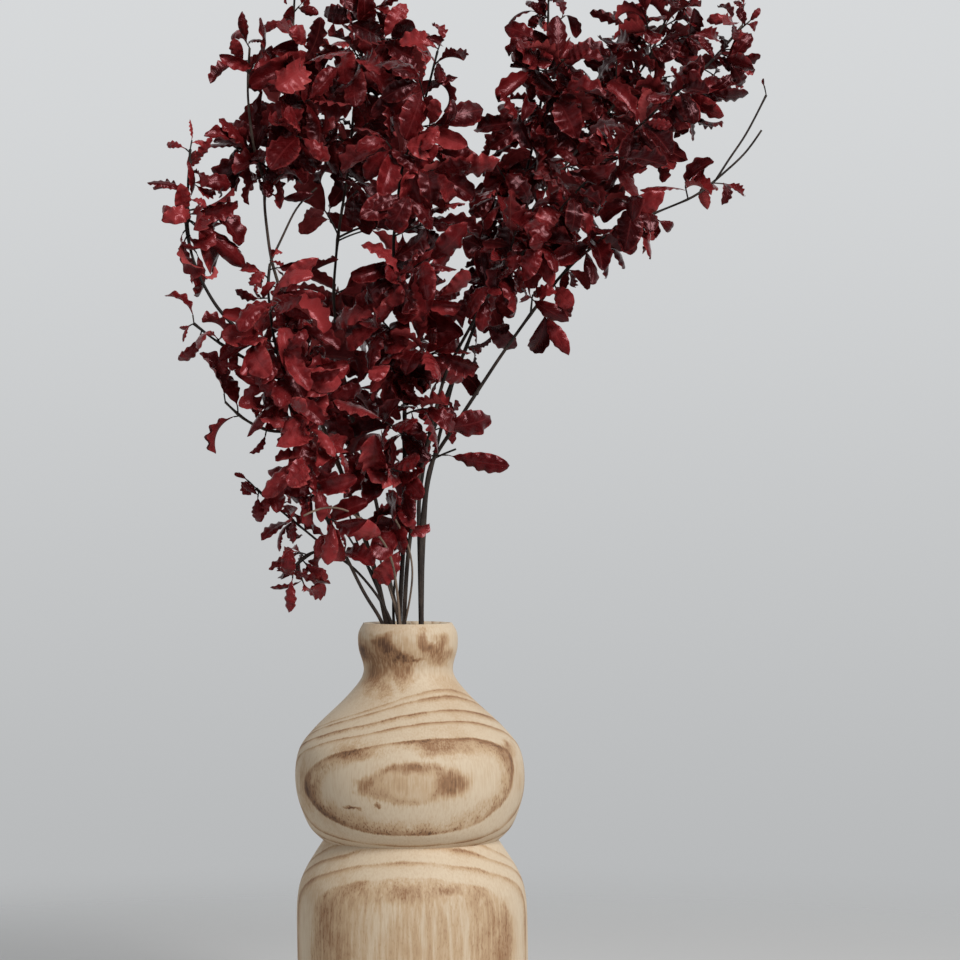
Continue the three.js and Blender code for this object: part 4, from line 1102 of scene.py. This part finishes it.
def ring_depths(nodes, share, rings, fine):
    """Depth of colour over the distance from the pith: sharp outside each ring and fading inside it."""
    stops = []
    for distance, line, wash, spread in rings:
        if fine:
            steps = [(step, part * line) for step, part in LINE_STEPS]
        else:
            steps = [(-0.4, 0), (0.4, wash), (0.5 * spread, 0.5 * wash), (spread, 0)]
        stops += [(distance + step, depth) for step, depth in steps]
    low, high = RING_SPAN
    return nodes.ramp(share, [((place - low) / (high - low), (depth,) * 3) for place, depth in stops])


def pith_distance(nodes, x, y, z):
    """The distance from the pith, which leans with the vase and bends aside in the upper bulb."""
    upright = nodes.plus(x, nodes.times(z, VASE_LEAN / VASE_HEIGHT))
    above = nodes.minus(z, PITH_BEND_HEIGHT * MM)
    rise = nodes.calc("MAXIMUM", nodes.calc("DIVIDE", above, PITH_BEND_WIDTH * MM), 0.0)
    bell = nodes.calc("EXPONENT", nodes.times(rise, rise, -1.0))
    from_x = nodes.minus(upright, nodes.times(nodes.minus(bell, 1.0), PITH_BEND * MM))
    from_y = nodes.minus(y, nodes.span(z, *metres(PITH_STEP), *metres(PITH_BEHIND)))
    return nodes.calc("SQRT", nodes.plus(nodes.times(from_x, from_x), nodes.times(from_y, from_y)))


def scorching(nodes, place):
    """Depth of the scorched places, with their outlines shaken."""
    shake = nodes.noise(place, SHAKE_SCALE, detail=4.0, output="Color")
    shake = nodes.vector("MULTIPLY", nodes.vector("SUBTRACT", shake, (0.5, 0.5, 0.5)), SHAKE)
    shaken = nodes.vector("ADD", place, shake)
    gap = nodes.times(spot(nodes, shaken, *CRESCENT_GAP), CRESCENT_HOLLOW)
    crescent = nodes.calc("MAXIMUM", nodes.minus(spot(nodes, shaken, *CRESCENT), gap), 0.0)
    spots = [nodes.times(spot(nodes, shaken, centre, size), depth) for centre, size, depth in SCORCHES]
    return nodes.plus(crescent, *spots)


def wood_material():
    """Pale turned wood, brushed and scorched: rings round a pith behind the axis, and fibres along Z."""
    material, nodes, shader, place = new_material("scorched_wood")
    x, y, z = nodes.add("SeparateXYZ", {0: place}).outputs
    fibre = nodes.noise(place, FIBRE_SCALE, detail=3.0, roughness=0.6)
    pores = nodes.noise(place, PORE_SCALE, detail=1.0)
    blotches = nodes.noise(place, BLOTCH_SCALE, detail=3.0, roughness=0.55)
    cloud = nodes.noise(place, CLOUD_SCALE, detail=4.0, roughness=0.6)
    streaks = nodes.noise(place, STREAK_SCALE)
    warp = nodes.spread(nodes.noise(place, WARP_SCALE), -RING_WARP * MM, RING_WARP * MM, WARP_ENDS)
    ragged = nodes.spread(fibre, -RING_RAGGED * MM, RING_RAGGED * MM, WARP_ENDS)
    distance = nodes.plus(pith_distance(nodes, x, y, z), warp, ragged)
    share = nodes.span(distance, *metres(RING_SPAN), kind="LINEAR")
    lower = nodes.calc("LESS_THAN", z, WAIST_HEIGHT * MM)
    bulbs = [
        (UPPER_RINGS, nodes.minus(1.0, lower)), (LOWER_RINGS, lower),
        (BACK_RINGS, nodes.span(y, *metres(BACK_FROM))),
    ]
    line, wash = (
        nodes.plus(*(nodes.times(ring_depths(nodes, share, rings, fine), part) for rings, part in bulbs))
        for fine in (True, False)
    )
    line = nodes.times(line, nodes.span(blotches, *LINE_SPAN))
    wash = nodes.times(wash, nodes.span(cloud, *WASH_SPAN))
    panel = nodes.span(distance, *metres(PANEL_EDGE))
    panel = nodes.times(lower, panel, nodes.span(streaks, *PANEL_SPAN))
    specks = nodes.plus(wash, nodes.times(panel, PANEL_SPECKS), LOOSE_SPECKS)
    specks = nodes.times(nodes.span(pores, *SPECK_ENDS), specks)
    burn = nodes.times(scorching(nodes, place), nodes.span(cloud, *BURN_SPAN))
    burn = nodes.times(burn, nodes.span(fibre, *BURN_FIBRES))
    depth = nodes.plus(
        nodes.times(line, LINE_DEPTH), nodes.times(nodes.plus(wash, panel), WASH_DEPTH),
        nodes.times(specks, SPECK_DEPTH), burn, nodes.spread(fibre, *FIBRE_TINT, FIBRE_ENDS),
        nodes.span(blotches, *BLOTCH_TINT),
    )
    relief = nodes.minus(nodes.times(fibre, FIBRE_RELIEF), nodes.times(specks, SPECK_RELIEF))
    relief = nodes.minus(relief, nodes.times(line, RING_RELIEF))
    roughness = nodes.spread(fibre, *WOOD_ROUGHNESS)
    finish_shader(nodes, shader, nodes.ramp(depth, WOOD_STOPS), roughness, relief, *WOOD_RELIEF)
    return material


# Stage.
def make_floor():
    """A pale floor that fades out away from the vase."""
    mesh = bpy.data.meshes.new("floor")
    angles = np.linspace(0, 2 * math.pi, FLOOR_SIDES, endpoint=False)
    ring = [(FLOOR_RADIUS * math.cos(a), FLOOR_RADIUS * math.sin(a), 0) for a in angles]
    mesh.from_pydata(ring, [], [list(range(FLOOR_SIDES))])
    material, nodes, shader, place = new_material("floor")
    shader.inputs["Base Color"].default_value = FLOOR_COLOUR
    shader.inputs["Roughness"].default_value = FLOOR_ROUGHNESS
    away = nodes.vector("LENGTH", place, output="Value")
    nodes.put(nodes.span(away, *FLOOR_FADE, 1.0, 0.0), shader.inputs["Alpha"])
    mesh.materials.append(material)
    floor = add_object("floor", mesh)


def make_light(name, place, size, power, colour):
    data = bpy.data.lights.new(name, "AREA")
    data.size = size
    data.energy = power
    data.color = colour
    light = add_object(name, data)
    light.location = place
    light.rotation_euler = (Vector(LIGHT_AIM) - Vector(place)).to_track_quat("-Z", "Y").to_euler()


def make_world():
    """A pale surround, lighter behind the object than in front of it and lighter above than below."""
    world = bpy.data.worlds.new("studio")
    world.use_nodes = True
    nodes = Nodes(world.node_tree)
    way = nodes.add("TexCoord").outputs["Generated"]
    _, y, z = nodes.add("SeparateXYZ", {0: way}).outputs
    strength = nodes.times(nodes.span(y, *SKY_BACK), nodes.span(z, *SKY_HEIGHT))
    background = nodes.add("Background", {"Color": SKY_COLOUR, "Strength": strength})
    nodes.add("OutputWorld", {"Surface": background.outputs[0]})
    bpy.context.scene.world = world


def make_camera():
    data = bpy.data.cameras.new("camera")
    data.sensor_width = SENSOR_WIDTH
    data.lens = SENSOR_WIDTH * FOCAL_PIXELS / PICTURE_SIDE
    camera = add_object("camera", data)
    camera.location = metres(CAMERA_PLACE)
    tilt = math.atan((HORIZON_ROW - PICTURE_SIDE / 2) / FOCAL_PIXELS)
    camera.rotation_euler = (math.pi / 2 + tilt, 0, 0)
    bpy.context.scene.camera = camera


make_camera()
make_world()
make_floor()
for light in LIGHTS:
    make_light(*light)
bpy.context.scene.view_settings.view_transform = "Standard"

foliage = [
    leaf_material("leaf_top", TOP_STOPS, TOP_RIM, *TOP_FINISH),
    leaf_material("leaf_under", UNDER_STOPS, UNDER_RIM, *UNDER_FINISH),
    bark_material(),
]
stems = grow_wood()
grow_leaves(stems)
for number, stem in enumerate(stems):
    make_stem(number, stem, foliage)
make_vase(wood_material())
